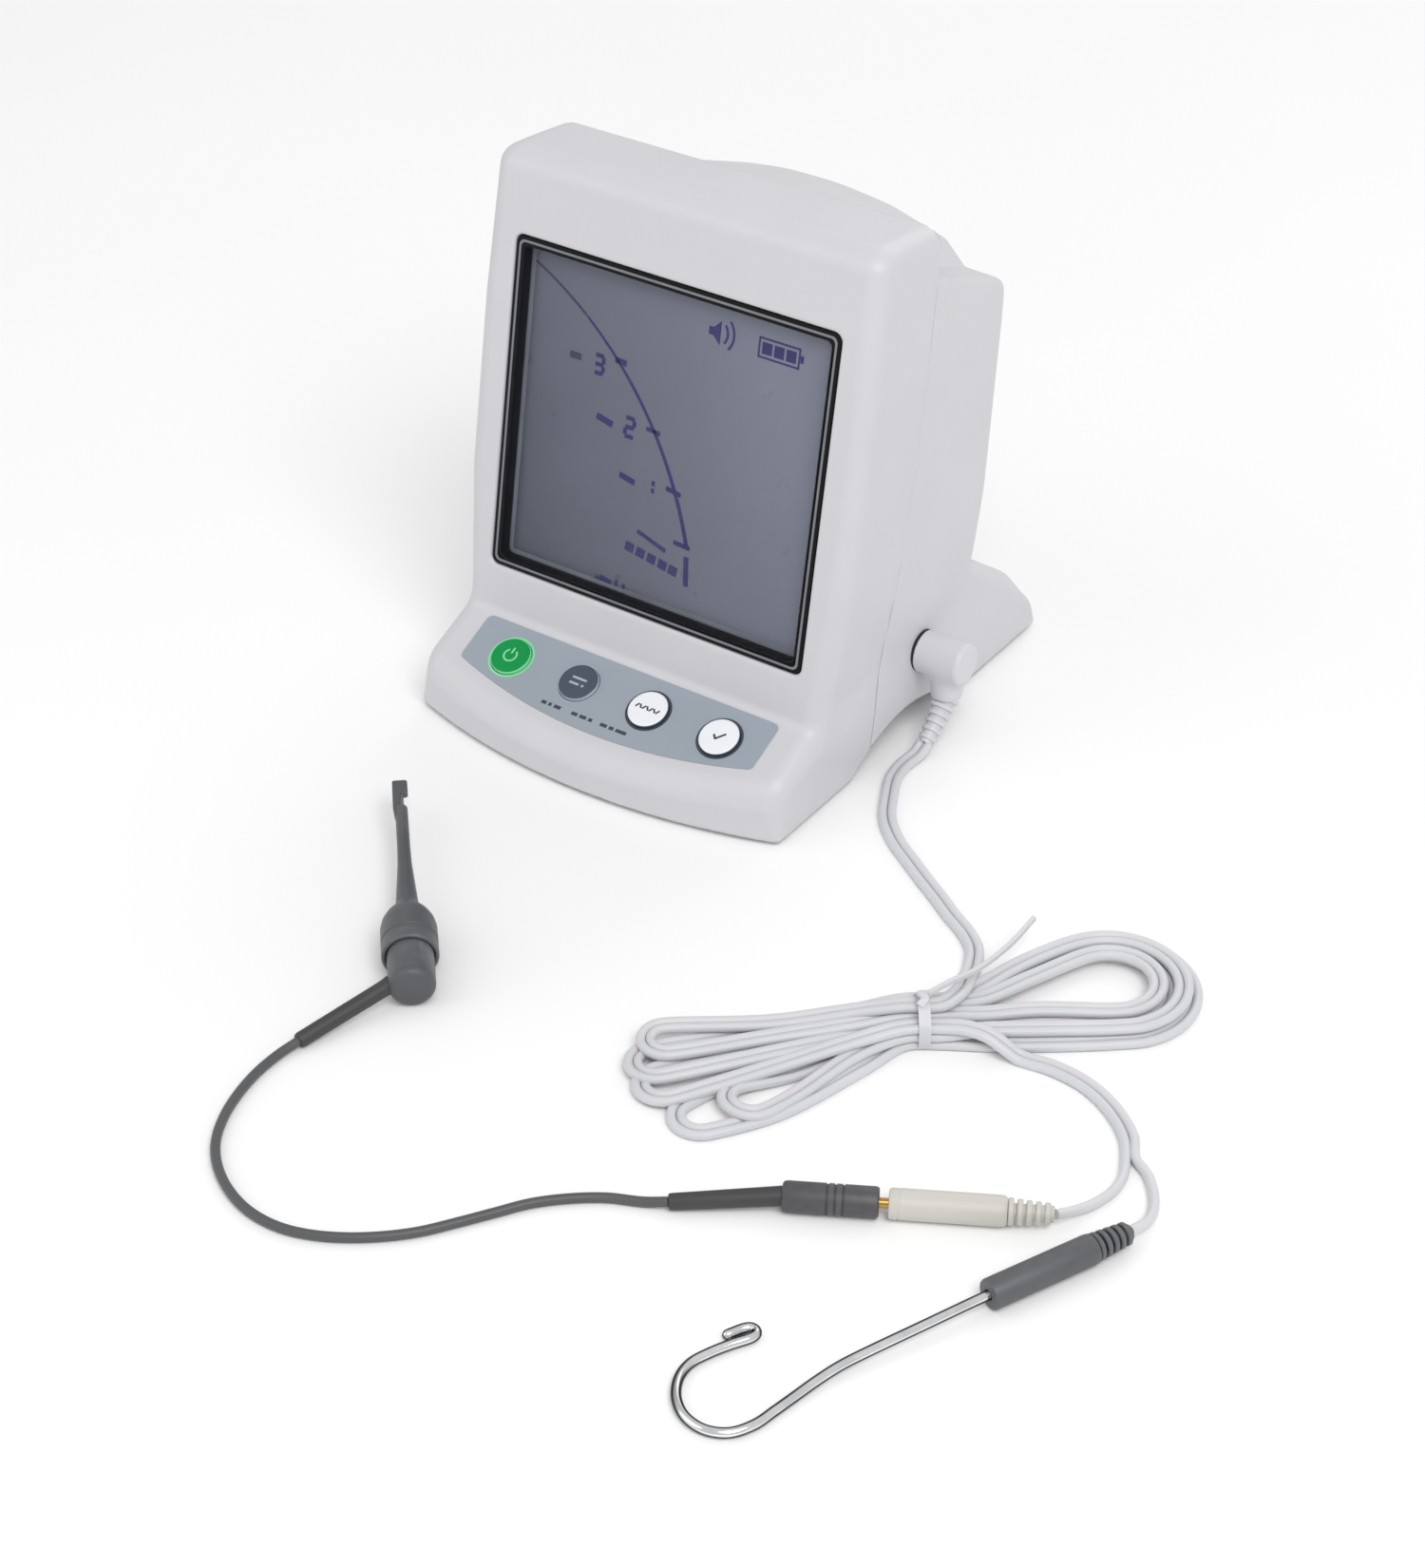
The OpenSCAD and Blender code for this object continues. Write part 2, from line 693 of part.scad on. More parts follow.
// A flat strap round the waist with a twisted end
module lead_tie() {
    color("#f0f0f2")
    translate(hank_c) rotate([0, 0, hank_yaw]) difference() {
        translate([-1.5, -9.2, 0]) cube([3, 17.6, waist_h + 0.9]);
        translate([-2, -8.6, -1]) cube([4, 16.4, waist_h + 1.15]);
    }
}

// ---- clip lead ------------------------------------------------------------------------

// The white socket's mouth and the direction from it towards the socket's tail
conn_c = [130, -134.8, conn_r];
conn_yaw = 29;
socket_l = 22;
socket_tail = 30.5;
plug_gap = 1.8;
plug_l = 18;
pin_l = 10;

module clip_socket() {
    color("#ececee")
    difference() {
        rod(conn_c, conn_yaw, 0, 0, socket_l, conn_r);
        rod(conn_c, conn_yaw, 0, -1, pin_l + 1, brass_pin_r + run_fit);
    }
}

module clip_socket_relief() {
    color("#ececee")
    for (k = [0:4]) {
        rod(conn_c, conn_yaw, 0, socket_l + 1.7 * k, socket_l + 1.7 * k + 1.1, 2.6 - 0.12 * k);
        rod(conn_c, conn_yaw, 0, socket_l + 1.7 * k, socket_l + 1.7 * k + 1.7, 1.6);
    }
}

module clip_plug_pin() {
    color("#c99a4a")
    rod(conn_c, conn_yaw, 0, -plug_gap - 4, pin_l - 0.6, brass_pin_r);
}

module clip_plug() {
    color("#58595b")
    difference() {
        rod(conn_c, conn_yaw, 0, -plug_gap - plug_l, -plug_gap, conn_r);
        rod(conn_c, conn_yaw, 0, -plug_gap - 4, 1, brass_pin_r);
        for (k = [0:2]) difference() {
            rod(conn_c, conn_yaw, 0, -plug_gap - 9 + k, -plug_gap - 8.7 + k, conn_r + 1);
            rod(conn_c, conn_yaw, 0, -plug_gap - 10, 0, conn_r - 0.2);
        }
    }
}

plug_end = conn_c - (plug_gap + plug_l) * [cos(conn_yaw), sin(conn_yaw), 0];
sleeve_run = clip_route[0] - plug_end;
sleeve_yaw = atan2(sleeve_run.y, sleeve_run.x);
sleeve_dip = asin(sleeve_run.z / norm(sleeve_run));

module clip_plug_sleeve() {
    color("#58595b")
    rod(plug_end, sleeve_yaw, sleeve_dip, -0.6, norm(sleeve_run), 1.65);
}

module clip_cable() {
    color("#6a6b6d") cord(clip_route, wire_r, wire_r);
}

// ---- file clip ------------------------------------------------------------------------

// Middle of the plunger's end face, and the way the clip points
clip_c = [19.2, -137.8, 4.95];
clip_yaw = 131.2;
clip_pitch = 2.8;
rim_s = 10;
plunger_s = rim_s + 4;
bore_s = plunger_s + clip_travel + 0.9;
barrel_s = bore_s + 1.6;
nose_s = barrel_s + 5;
taper_s = 40;
stem_s = 59;
tip_s = 68;
jaw_r = 0.6;

module along_clip() {
    translate(clip_c) rotate([0, 90 - clip_pitch, clip_yaw]) children();
}

// Where the sleeve on the cord enters the side of the plunger
sleeve_in = [13.9, -139.2, 4.4];
entry_run = sleeve_in - clip_route[len(clip_route) - 1];

module clip_sleeve() {
    color("#58595b")
    difference() {
        rod(clip_route[len(clip_route) - 1], atan2(entry_run.y, entry_run.x), asin(entry_run.z / norm(entry_run)),
            0, norm(entry_run) + 1, 1.6);
        along_clip() cylinder(h = 8, r = plunger_r);
    }
}

module clip_plunger() {
    color("#5f6062")
    along_clip() difference() {
        rotate_extrude() polygon(rounded([[0, 0, 0], [plunger_r, 0, 1.2], [plunger_r, plunger_s, 0],
                                          [0, plunger_s, 0]]));
        translate([0, 0, rim_s]) cylinder(h = 5, r = jaw_r);
    }
}

module clip_spring() {
    color("#b9bbc0")
    along_clip() for (k = [0:3]) translate([0, 0, plunger_s + 0.6 + 1.15 * k]) difference() {
        cylinder(h = 0.5, r = 4.2);
        translate([0, 0, -1]) cylinder(h = 3, r = 3.6);
    }
}

module clip_barrel() {
    color("#646567")
    along_clip() difference() {
        rotate_extrude() polygon(rounded([[0, rim_s, 0], [barrel_r, rim_s, 0.5], [barrel_r, barrel_s - 0.5, 3],
                                          [2.4, nose_s, 1], [1.4, taper_s, 2], [1.35, stem_s, 0], [0, stem_s, 0]]));
        translate([0, 0, rim_s - 1]) cylinder(h = bore_s - rim_s + 1, r = plunger_r + 0.15);
        translate([0, 0, rim_s]) cylinder(h = stem_s, r = jaw_r + run_fit);
    }
}

// The hooked wire in the stem; its head sits over the stem's end
module clip_jaw() {
    color("#6c6d70")
    along_clip() {
        translate([0, 0, rim_s]) cylinder(h = tip_s - rim_s - 2.5, r = jaw_r);
        translate([-0.9, 0.2, stem_s + 0.3]) cube([1.8, 1.5, tip_s - stem_s - 0.3]);
        translate([-0.9, -1.6, tip_s - 4.6]) cube([1.8, 3.3, 4.6]);
    }
}

// ---- lip hook -------------------------------------------------------------------------

// The mouth of the grey handle and the direction towards its tail
handle_c = [157.6, -145.2, conn_r];
handle_yaw = 66.2;
handle_l = 23.6;
hook_in = 12;
// Octagonal rings stand just outside the round wire
hook_skin = 1.09;

module hook_handle() {
    color("#606164")
    difference() {
        rod(handle_c, handle_yaw, 0, 0, handle_l, conn_r);
        rod(handle_c, handle_yaw, 0, -1, hook_in, hook_r + run_fit);
    }
}

module hook_handle_relief() {
    color("#606164")
    for (k = [0:4]) {
        rod(handle_c, handle_yaw, 0, handle_l + 1.6 * k, handle_l + 1.6 * k + 1.1, 2.7 - 0.12 * k);
        rod(handle_c, handle_yaw, 0, handle_l + 1.6 * k, handle_l + 1.6 * k + 1.6, 1.6);
    }
}

hook_route = [[157.2, -146.1, 3], [151, -160, 2.5], [147.5, -167.8, 2.2], [144.8, -174, 1.8], [143.2, -179, 1.4],
              [142, -184, 1.1], [141, -189, 1.1], [139.9, -193.8, 1.1], [137.4, -197.8, 1.1], [133.5, -199.6, 1.1],
              [129, -199, 1.1], [125.2, -196.2, 1.1], [122.8, -192, 1.1], [122.4, -188, 1.1], [123.8, -183.8, 1.1],
              [125.7, -180, 1.1], [127.7, -176.6, 1.1], [127.9, -175.4, 1.1], [127.2, -174.6, 1.1], [126.2, -174.6, 1.1],
              [125.4, -175.3, 1.1], [123.4, -179.2, 1.1]];

module lip_hook() {
    color("#c6c8cc")
    union() {
        rod(handle_c, handle_yaw, 0, -3, hook_in - 0.6, hook_r);
        cord(hook_route, hook_skin * hook_r, hook_skin * hook_r);
    }
}

front_housing();
rear_housing();
battery_door();
battery_door_pin();
screen_gasket();
screen_window();
lcd_panel();
lcd_backlight();
lcd_carrier();
main_board();
board_screws();
key_board();
dome_switches();
keypad_label();
key_power();
key_mode();
key_select();
key_set();
jack_socket();
jack_nut();
buzzer();
battery_tray();
aa_cell(1);  // aa_cell_1
aa_cell(2);  // aa_cell_2
aa_cell(3);  // aa_cell_3
aa_cell(4);  // aa_cell_4
battery_springs();
battery_contacts();
battery_leads();
housing_screws();
rubber_feet();
ribbon_cable();
lead_plug_pin();
lead_plug_body();
lead_plug_relief();
lead_cable();
lead_hank();
lead_tie();
twin_cable();
clip_branch();
hook_branch();
clip_socket();
clip_socket_relief();
clip_plug_pin();
clip_plug();
clip_plug_sleeve();
clip_cable();
clip_sleeve();
clip_plunger();
clip_spring();
clip_barrel();
clip_jaw();
hook_handle();
hook_handle_relief();
lip_hook();
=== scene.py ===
"""Apex locator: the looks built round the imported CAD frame.  Lengths are in millimetres until a
mesh or a curve is made, where MM turns them into metres."""

import math

import bmesh
import bpy
import numpy as np
from mathutils import Matrix, Vector


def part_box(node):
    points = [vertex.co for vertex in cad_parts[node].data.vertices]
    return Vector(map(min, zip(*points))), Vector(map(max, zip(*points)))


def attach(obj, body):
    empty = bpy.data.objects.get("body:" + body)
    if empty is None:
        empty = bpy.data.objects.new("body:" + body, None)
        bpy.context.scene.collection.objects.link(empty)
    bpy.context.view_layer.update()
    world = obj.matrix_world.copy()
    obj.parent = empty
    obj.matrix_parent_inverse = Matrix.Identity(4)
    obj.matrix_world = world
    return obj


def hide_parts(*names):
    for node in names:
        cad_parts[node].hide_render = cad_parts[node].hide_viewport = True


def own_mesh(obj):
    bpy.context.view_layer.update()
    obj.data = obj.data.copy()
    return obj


MM = 0.001

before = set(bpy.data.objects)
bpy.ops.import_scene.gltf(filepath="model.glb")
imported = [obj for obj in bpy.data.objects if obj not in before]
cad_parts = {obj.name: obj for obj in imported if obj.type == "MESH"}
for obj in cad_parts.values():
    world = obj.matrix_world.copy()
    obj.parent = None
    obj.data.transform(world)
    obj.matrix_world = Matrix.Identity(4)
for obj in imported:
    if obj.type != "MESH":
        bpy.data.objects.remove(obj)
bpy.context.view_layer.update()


# ---- frames of the housing's faces ----

FACE_TILT = math.radians(10.28)
DECK_SLOPE = math.radians(24.3)
ROOF_SLOPE = math.radians(22.1)
REAR_LEAN = math.radians(5.6)


class Place:
    """A frame: origin, and the directions across it, up it and out of it."""

    def __init__(self, origin, across, up):
        self.origin = np.array(origin, float)
        self.across = np.array(across, float) / np.linalg.norm(across)
        self.up = np.array(up, float) / np.linalg.norm(up)
        self.out = np.cross(self.across, self.up)

    def local(self, x, y, z):
        """Coordinates in this frame of row-frame arrays."""
        dx, dy, dz = (c - o for c, o in zip((x, y, z), self.origin))
        return [dx * a[0] + dy * a[1] + dz * a[2] for a in (self.across, self.up, self.out)]

    def matrix(self):
        m = Matrix(np.column_stack([self.across, self.up, self.out]).tolist()).to_4x4()
        m.translation = Vector(self.origin * MM)
        return m

    def at(self, u, v, w=0.0):
        return self.origin + self.across * u + self.up * v + self.out * w


def sin_cos(angle):
    return math.sin(angle), math.cos(angle)


FACE = Place((0, -25.73, 69.38), (1, 0, 0), (0, *sin_cos(FACE_TILT)))
DECK = Place((0, -35.9, 20.07), (1, 0, 0), (0, *sin_cos(DECK_SLOPE)[::-1]))
REAR = Place((0, 32.8, 70), (-1, 0, 0), (0, *sin_cos(REAR_LEAN)))
ROOF = Place((0, 9.5, 122.2), (1, 0, 0), (0, math.cos(ROOF_SLOPE), -math.sin(ROOF_SLOPE)))


# ---- materials ----

def srgb(text):
    """Linear colour of a hex string."""
    parts = [int(text[i:i + 2], 16) / 255 for i in (1, 3, 5)]
    return [c / 12.92 if c <= 0.04045 else ((c + 0.055) / 1.055) ** 2.4 for c in parts] + [1.0]


def shade(colour, factor):
    return [min(1.0, c * factor) for c in colour[:3]] + [1.0]


class Finish:
    """A material under construction: its nodes, links and Principled shader."""

    def __init__(self, name):
        self.material = bpy.data.materials.new(name)
        self.material.use_nodes = True
        self.nodes, self.links = self.material.node_tree.nodes, self.material.node_tree.links
        self.shader = self.nodes["Principled BSDF"]
        self.place = self.nodes.new("ShaderNodeTexCoord").outputs["Object"]

    def add(self, kind, inputs=(), **settings):
        node = self.nodes.new("ShaderNode" + kind)
        for key, value in settings.items():
            setattr(node, key, value)
        for key, value in dict(inputs).items():
            if isinstance(value, bpy.types.NodeSocket):
                self.links.new(value, node.inputs[key])
            else:
                node.inputs[key].default_value = value
        return node

    def noise(self, size_mm, detail=3.0, roughness=0.5):
        return self.add("TexNoise", {"Vector": self.place, "Scale": 1 / (size_mm * MM), "Detail": detail,
                                     "Roughness": roughness}).outputs["Fac"]

    def ramp(self, value, low, high, colours):
        node = self.add("ValToRGB", {"Fac": value})
        for stop, at, colour in zip(node.color_ramp.elements, (low, high), colours):
            stop.position, stop.color = at, colour
        return node.outputs["Color"]

    def spread(self, value, low, high, start=0.0, end=1.0):
        """What runs from start to end then runs from low to high."""
        return self.add("MapRange", {"Value": value, "From Min": start, "From Max": end, "To Min": low,
                                     "To Max": high}).outputs["Result"]

    def calc(self, operation, a, b):
        return self.add("Math", {0: a, 1: b}, operation=operation).outputs[0]

    def mix(self, share, a, b):
        return self.add("Mix", {"Factor": share, "A": a, "B": b}, data_type="RGBA").outputs["Result"]

    def along(self, axis):
        return self.add("SeparateXYZ", {"Vector": self.place}).outputs[axis]

    def bump(self, height, depth_mm):
        return self.add("Bump", {"Height": height, "Distance": depth_mm * MM,
                                 "Strength": 1.0}).outputs["Normal"]

    def set(self, **sockets):
        for key, value in sockets.items():
            socket = self.shader.inputs[key.replace("_", " ")]
            if isinstance(value, bpy.types.NodeSocket):
                self.links.new(value, socket)
            else:
                socket.default_value = value
        return self


BLACK_TO_WHITE = ((0, 0, 0, 1), (1, 1, 1, 1))


def moulded(name, colour, roughness=0.42, grain_mm=0.35, grain_depth=0.012, drift=0.03, worn=None,
            **sockets):
    """Moulded plastic or rubber: a fine spark-eroded grain, cloudy gloss, slightly uneven colour and
    edges rubbed a little paler or darker."""
    f = Finish(name)
    base = srgb(colour)
    tone = f.ramp(f.noise(14), 0.3, 0.7, (shade(base, 1 - drift), shade(base, 1 + drift)))
    if worn:
        edge = f.add("NewGeometry").outputs["Pointiness"]
        rub = f.ramp(edge, 0.52, 0.6, BLACK_TO_WHITE)
        tone = f.mix(f.calc("MULTIPLY", rub, f.noise(2.2)), tone, srgb(worn))
    grain = f.bump(f.noise(grain_mm, 2.0), grain_depth)
    smear = f.spread(f.noise(9, 4.0), roughness - 0.06, roughness + 0.08)
    return f.set(Base_Color=tone, Roughness=smear, Normal=grain, **sockets).material


def metal(name, colour, roughness=0.2, scratch_mm=0.6, depth=0.004, painted_rim_shade=None):
    """Metal with fine scratches, and optionally a colour painted as shade and dark reflection along the
    sides of a bright round wire, where it faces away from the eye.
    """
    f = Finish(name)
    base = srgb(colour)
    tone = f.ramp(f.noise(5), 0.35, 0.65, (shade(base, 0.9), shade(base, 1.05)))
    if painted_rim_shade:
        # Painted shade: the sides of the round wire, facing away, take the dark colour
        facing = f.add("LayerWeight", {"Blend": 0.5}).outputs["Facing"]
        tone = f.mix(f.ramp(facing, 0.22, 0.42, BLACK_TO_WHITE), tone, srgb(painted_rim_shade))
    rough = f.spread(f.noise(scratch_mm, 5.0), roughness * 0.6, roughness * 1.5)
    return f.set(Base_Color=tone, Roughness=rough, Metallic=1.0,
                 Normal=f.bump(f.noise(scratch_mm), depth)).material


ABS = moulded("abs_white", "#cccbcf", 0.4, 0.5, 0.010, 0.012)
ABS_REAR = moulded("abs_white_rear", "#cdccd0", 0.44, 0.5, 0.014, 0.014)
GASKET = moulded("gasket_black", "#060608", 0.5, 0.8, 0.02, 0.08, Specular_IOR_Level=0.2)
# Pale grey painted on the gasket as the highlight along its rounded ridge
GASKET_HIGHLIGHT = moulded("gasket_painted_highlight", "#77787e", 0.45, 0.8, 0.01, 0.08)
BLACK = moulded("black_nylon", "#17171a", 0.45, 0.4, 0.01, 0.08)
PVC = moulded("pvc_white", "#d2d0d3", 0.4, 1.1, 0.02, 0.02, Subsurface_Weight=0.08)
PLUG_WHITE = moulded("plug_white", "#d0cfd4", 0.38, 0.6, 0.012, 0.02)
IVORY = moulded("socket_ivory", "#c8c5be", 0.42, 0.6, 0.012, 0.02)
GREY = moulded("grey_nylon", "#515255", 0.46, 0.35, 0.02, 0.08, "#7e7f83")
GREY_PLUG = moulded("grey_plug", "#414143", 0.46, 0.35, 0.02, 0.08, "#6c6c70")
GREY_DARK = moulded("grey_sleeve", "#3c3c3e", 0.5, 0.35, 0.012, 0.05)
GREY_CORD = moulded("grey_cord", "#535456", 0.42, 1.0, 0.02, 0.05)
LABEL = moulded("label_film", "#98a1ab", 0.33, 0.25, 0.006, 0.02)
GREEN = moulded("key_green", "#009148", 0.36, 0.3, 0.004, 0.03, Specular_IOR_Level=0.25)
GREEN_PALE = moulded("key_rim_green", "#86dba4", 0.35, 0.3, 0.004, 0.03)
SLATE = moulded("key_slate", "#434c5c", 0.32, 0.3, 0.004, 0.04)
SLATE_PALE = moulded("key_rim_slate", "#a7b2c0", 0.35, 0.3, 0.004, 0.03)
KEY_WHITE = moulded("key_white", "#eceef2", 0.3, 0.3, 0.004, 0.01)
# Dark print ink; on the white keys' rings and collars it also stands for painted shadow in the gap round
# the caps
INK_AND_GAP_SHADE = moulded("print_ink_and_gap_shade", "#39414e", 0.5, 0.3, 0.003, 0.05)
INNER = moulded("inner_plastic", "#d5d5d1", 0.5, 0.5, 0.01, 0.02)
BOARD = moulded("board_green", "#24593a", 0.4, 0.8, 0.01, 0.08)
DIFFUSER = moulded("diffuser", "#f0f0ec", 0.6, 0.8, 0.01, 0.01)
RED_WIRE = moulded("red_wire", "#a8322c", 0.4, 0.8, 0.01, 0.05)
RUBBER = moulded("foot_rubber", "#2e2e30", 0.75, 0.4, 0.02, 0.08)
COPPER = moulded("flex_copper", "#b97f38", 0.4, 0.6, 0.006, 0.06)
# The stainless wire gets painted dark shade and reflection along its sides
STEEL = metal("stainless", "#f6f7f9", 0.13, 0.9, 0.002, "#1c1d1f")
SCREW = metal("screw_zinc", "#b4b6ba", 0.32)
BRASS = metal("brass", "#c39a55", 0.24)


def lcd_finish():
    """Grey-blue liquid crystal: cloudy, with painted light that makes it lighter towards the right and the
    top, and a faint pixel grain.
    """
    f = Finish("lcd_grey")
    # Painted light: the tone rises towards the right and the top, where the lamps fall on the panel; the
    # cloud on top of it is random tone
    across, rise = f.spread(f.along("X"), 0, 0.7, -0.04, 0.04), f.spread(f.along("Z"), 0, 0.3, 0.03, 0.105)
    cloud = f.calc("MULTIPLY", f.noise(30, 2.0), 0.2)
    painted_light_and_cloud = f.calc("ADD", f.calc("ADD", across, rise), cloud)
    tone = f.ramp(painted_light_and_cloud, 0.1, 0.95, (srgb("#535967"), srgb("#878c9e")))
    return f.set(Base_Color=tone, Roughness=f.spread(f.noise(12), 0.24, 0.34),
                 Normal=f.bump(f.noise(0.4), 0.0008)).material


def window_finish():
    f = Finish("clear_acrylic")
    haze = f.spread(f.noise(18, 4.0), 0.03, 0.09)
    return f.set(Base_Color=srgb("#2c3038"), Roughness=haze, Alpha=0.08, Specular_IOR_Level=0.35,
                 Normal=f.bump(f.noise(14), 0.002)).material


def cell_finish():
    """Printed wrap of the battery cells: green, with a copper-coloured band at the upper end."""
    low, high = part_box("aa_cell_1")
    f = Finish("cell_wrap")
    tone = f.ramp(f.spread(f.along("Z"), 0, 1, low[2], high[2]), 0.74, 0.745,
                  (srgb("#2f5c44"), srgb("#b47c44")))
    return f.set(Base_Color=tone, Roughness=f.spread(f.noise(9), 0.24, 0.38),
                 Normal=f.bump(f.noise(0.8), 0.004)).material


CELL = cell_finish()
LCD = lcd_finish()
LCD_INK = moulded("lcd_segments", "#32316f", 0.3, 0.5, 0.002, 0.10)
LCD_FAINT = moulded("lcd_segments_faint", "#3f3f5c", 0.3, 0.5, 0.002, 0.10)
GLASS_EDGE = moulded("glass_edge", "#8b8e98", 0.4, 0.5, 0.004, 0.12)
WINDOW = window_finish()


# ---- mesh helpers ----

def add_to_scene(name, data):
    added = bpy.data.objects.new(name, data)
    bpy.context.scene.collection.objects.link(added)
    return added


def new_object(name, data, material, body, replaces=()):
    """A piece in the scene, with its finish and the body that it rides on."""
    data.name = name
    data.materials.append(material)
    piece = add_to_scene(name, data)
    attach(piece, body)
    if replaces:
        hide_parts(*replaces)
    return piece


def smooth_faces(mesh, angle=40):
    mesh.shade_smooth()
    mesh.set_sharp_from_angle(angle=math.radians(angle))
    return mesh


def mesh_from(points, faces, angle=40):
    """A mesh of points in millimetres."""
    mesh = bpy.data.meshes.new("mesh")
    mesh.from_pydata([tuple(p) for p in np.asarray(points, float) * MM], [], faces)
    mesh.validate()
    return smooth_faces(mesh, angle)


def rounded_outline(corners, steps=8):
    """Closed outline through corners (a, b, radius), each rounded by an arc."""
    made, n = [], len(corners)
    for i, (a, b, r) in enumerate(corners):
        here = np.array([a, b])
        if r == 0:
            made.append(here)
            continue
        u = np.array(corners[i - 1][:2]) - here
        v = np.array(corners[(i + 1) % n][:2]) - here
        u, v = u / np.linalg.norm(u), v / np.linalg.norm(v)
        half = math.acos(np.clip(u @ v, -1, 1)) / 2
        middle = here + (u + v) / np.linalg.norm(u + v) * r / math.sin(half)
        first, last = here + u * r / math.tan(half) - middle, here + v * r / math.tan(half) - middle
        turn = math.atan2(first[0] * last[1] - first[1] * last[0], first @ last)
        for k in range(steps + 1):
            s, c = sin_cos(turn * k / steps)
            made.append(middle + np.array([first[0] * c - first[1] * s, first[0] * s + first[1] * c]))
    return np.array(made)


def rectangle(w, h, r, cx=0.0, cy=0.0, steps=8):
    return rounded_outline([(cx + a * w / 2, cy + b * h / 2, r)
                            for a, b in ((-1, -1), (1, -1), (1, 1), (-1, 1))], steps)


def arc_points(cx, cy, r, start, end, count):
    return [(cx + r * math.cos(math.radians(a)), cy + r * math.sin(math.radians(a)))
            for a in np.linspace(start, end, count)]


def circle_outline(r, cx=0.0, cy=0.0, count=64):
    return np.array([(cx + r * math.cos(t), cy + r * math.sin(t))
                     for t in np.linspace(0, math.tau, count, False)])


def stroke(points, width, taper=1.0):
    """Outline of a line of given width; its end is taper times as wide as its start."""
    p = np.array(points, float)
    along = np.gradient(p, axis=0)
    across = np.column_stack([-along[:, 1], along[:, 0]]) / np.linalg.norm(along, axis=1)[:, None]
    half = np.linspace(1, taper, len(p))[:, None] * width / 2
    return np.vstack([p + across * half, (p - across * half)[::-1]])


def slab(outlines, place, low, high, bevel=0.0, bevel_steps=2):
    """Mesh of flat outlines, the later ones cutting holes, from height low to high over a place, with
    rounded rims."""
    curve = bpy.data.curves.new("outline", "CURVE")
    curve.dimensions, curve.fill_mode = "2D", "BOTH"
    curve.extrude = ((high - low) / 2 - bevel) * MM
    curve.bevel_depth, curve.bevel_resolution, curve.offset = bevel * MM, bevel_steps, -bevel * MM
    for outline in outlines:
        spline = curve.splines.new("POLY")
        spline.points.add(len(outline) - 1)
        spline.use_cyclic_u = True
        for point, (a, b) in zip(spline.points, outline):
            point.co = (a * MM, b * MM, 0, 1)
    holder = add_to_scene("outline", curve)
    bpy.context.view_layer.update()
    mesh = bpy.data.meshes.new_from_object(holder.evaluated_get(bpy.context.evaluated_depsgraph_get()))
    bpy.data.objects.remove(holder)
    mesh.transform(place.matrix() @ Matrix.Translation((0, 0, (low + high) / 2 * MM)))
    mesh.materials.clear()
    return smooth_faces(mesh, 35)


def frame_along(direction, up=(0, 0, 1)):
    """Unit vectors across and above a direction."""
    d = np.array(direction, float) / np.linalg.norm(direction)
    side = np.cross(up, d)
    if np.linalg.norm(side) < 1e-6:
        side = np.array([1.0, 0, 0])
    side /= np.linalg.norm(side)
    return d, side, np.cross(d, side)


def tube_faces(rings, sides):
    """Faces of a tube closed at both ends, whose points run ring by ring."""
    faces = []
    for i in range(rings - 1):
        for k in range(sides):
            a, b = i * sides + k, i * sides + (k + 1) % sides
            faces.append((a, b, b + sides, a + sides))
    last = (rings - 1) * sides
    return [*faces, tuple(range(sides))[::-1], tuple(range(last, last + sides))]


def turned(profile, origin, direction, sides=48, angle=35):
    """A lathe-turned mesh: profile is (distance along, radius), closed at both ends."""
    d, side, above = frame_along(direction)
    points = []
    for s, r in profile:
        for k in range(sides):
            sn, cs = sin_cos(math.tau * k / sides)
            points.append(np.array(origin) + d * s + (side * cs + above * sn) * r)
    return mesh_from(points, tube_faces(len(profile), sides), angle)


def rounded_profile(corners, steps=4):
    """Lathe profile with each inner corner (distance, radius, rounding) rounded."""
    closed = rounded_outline([(corners[0][0], -5, 0), *corners, (corners[-1][0], -5, 0)], steps)
    return [tuple(p) for p in closed[1:-1]]


def join_meshes(meshes):
    """One mesh of several, each keeping its own surface."""
    made = bmesh.new()
    for mesh in meshes:
        made.from_mesh(mesh)
    joined = bpy.data.meshes.new("mesh")
    made.to_mesh(joined)
    made.free()
    return smooth_faces(joined)


# ---- camera, light and floor ----

CAMERA_PLACE = (0.36204, -0.52632, 0.41629)
CAMERA_AZIMUTH, CAMERA_ELEVATION = math.radians(34.770), math.radians(35.047)
LENS_MM, SENSOR_MM, NEAREST, FARTHEST = 75.457, 36, 0.05, 20
LIT_POINT = (0.04, -0.06, 0.05)
# Name, place, diameter and power of each light
LIGHTS = [("key_light", (0.75, -0.55, 1.15), 0.9, 9.6), ("fill_light", (-0.7, -0.9, 0.8), 1.2, 2.4),
          ("rear_light", (-0.1, 1.1, 0.8), 1.0, 3.0)]
WORLD_STRENGTH, FLOOR_REACH = 0.62, 6.0


def aim(thing, direction):
    """Turns a camera or a light to look along a direction."""
    thing.rotation_mode = "QUATERNION"
    thing.rotation_quaternion = direction.to_track_quat("-Z", "Y")


def add_camera():
    data = bpy.data.cameras.new("camera")
    data.lens, data.sensor_width, data.clip_start, data.clip_end = LENS_MM, SENSOR_MM, NEAREST, FARTHEST
    camera = add_to_scene("camera", data)
    camera.location = CAMERA_PLACE
    (sin_a, cos_a), (sin_e, cos_e) = sin_cos(CAMERA_AZIMUTH), sin_cos(CAMERA_ELEVATION)
    aim(camera, -Vector((sin_a * cos_e, -cos_a * cos_e, sin_e)))
    bpy.context.scene.camera = camera


def add_area_light(name, location, size, power):
    data = bpy.data.lights.new(name, "AREA")
    data.shape, data.size, data.energy = "DISK", size, power
    light = add_to_scene(name, data)
    light.location = location
    aim(light, Vector(LIT_POINT) - Vector(location))


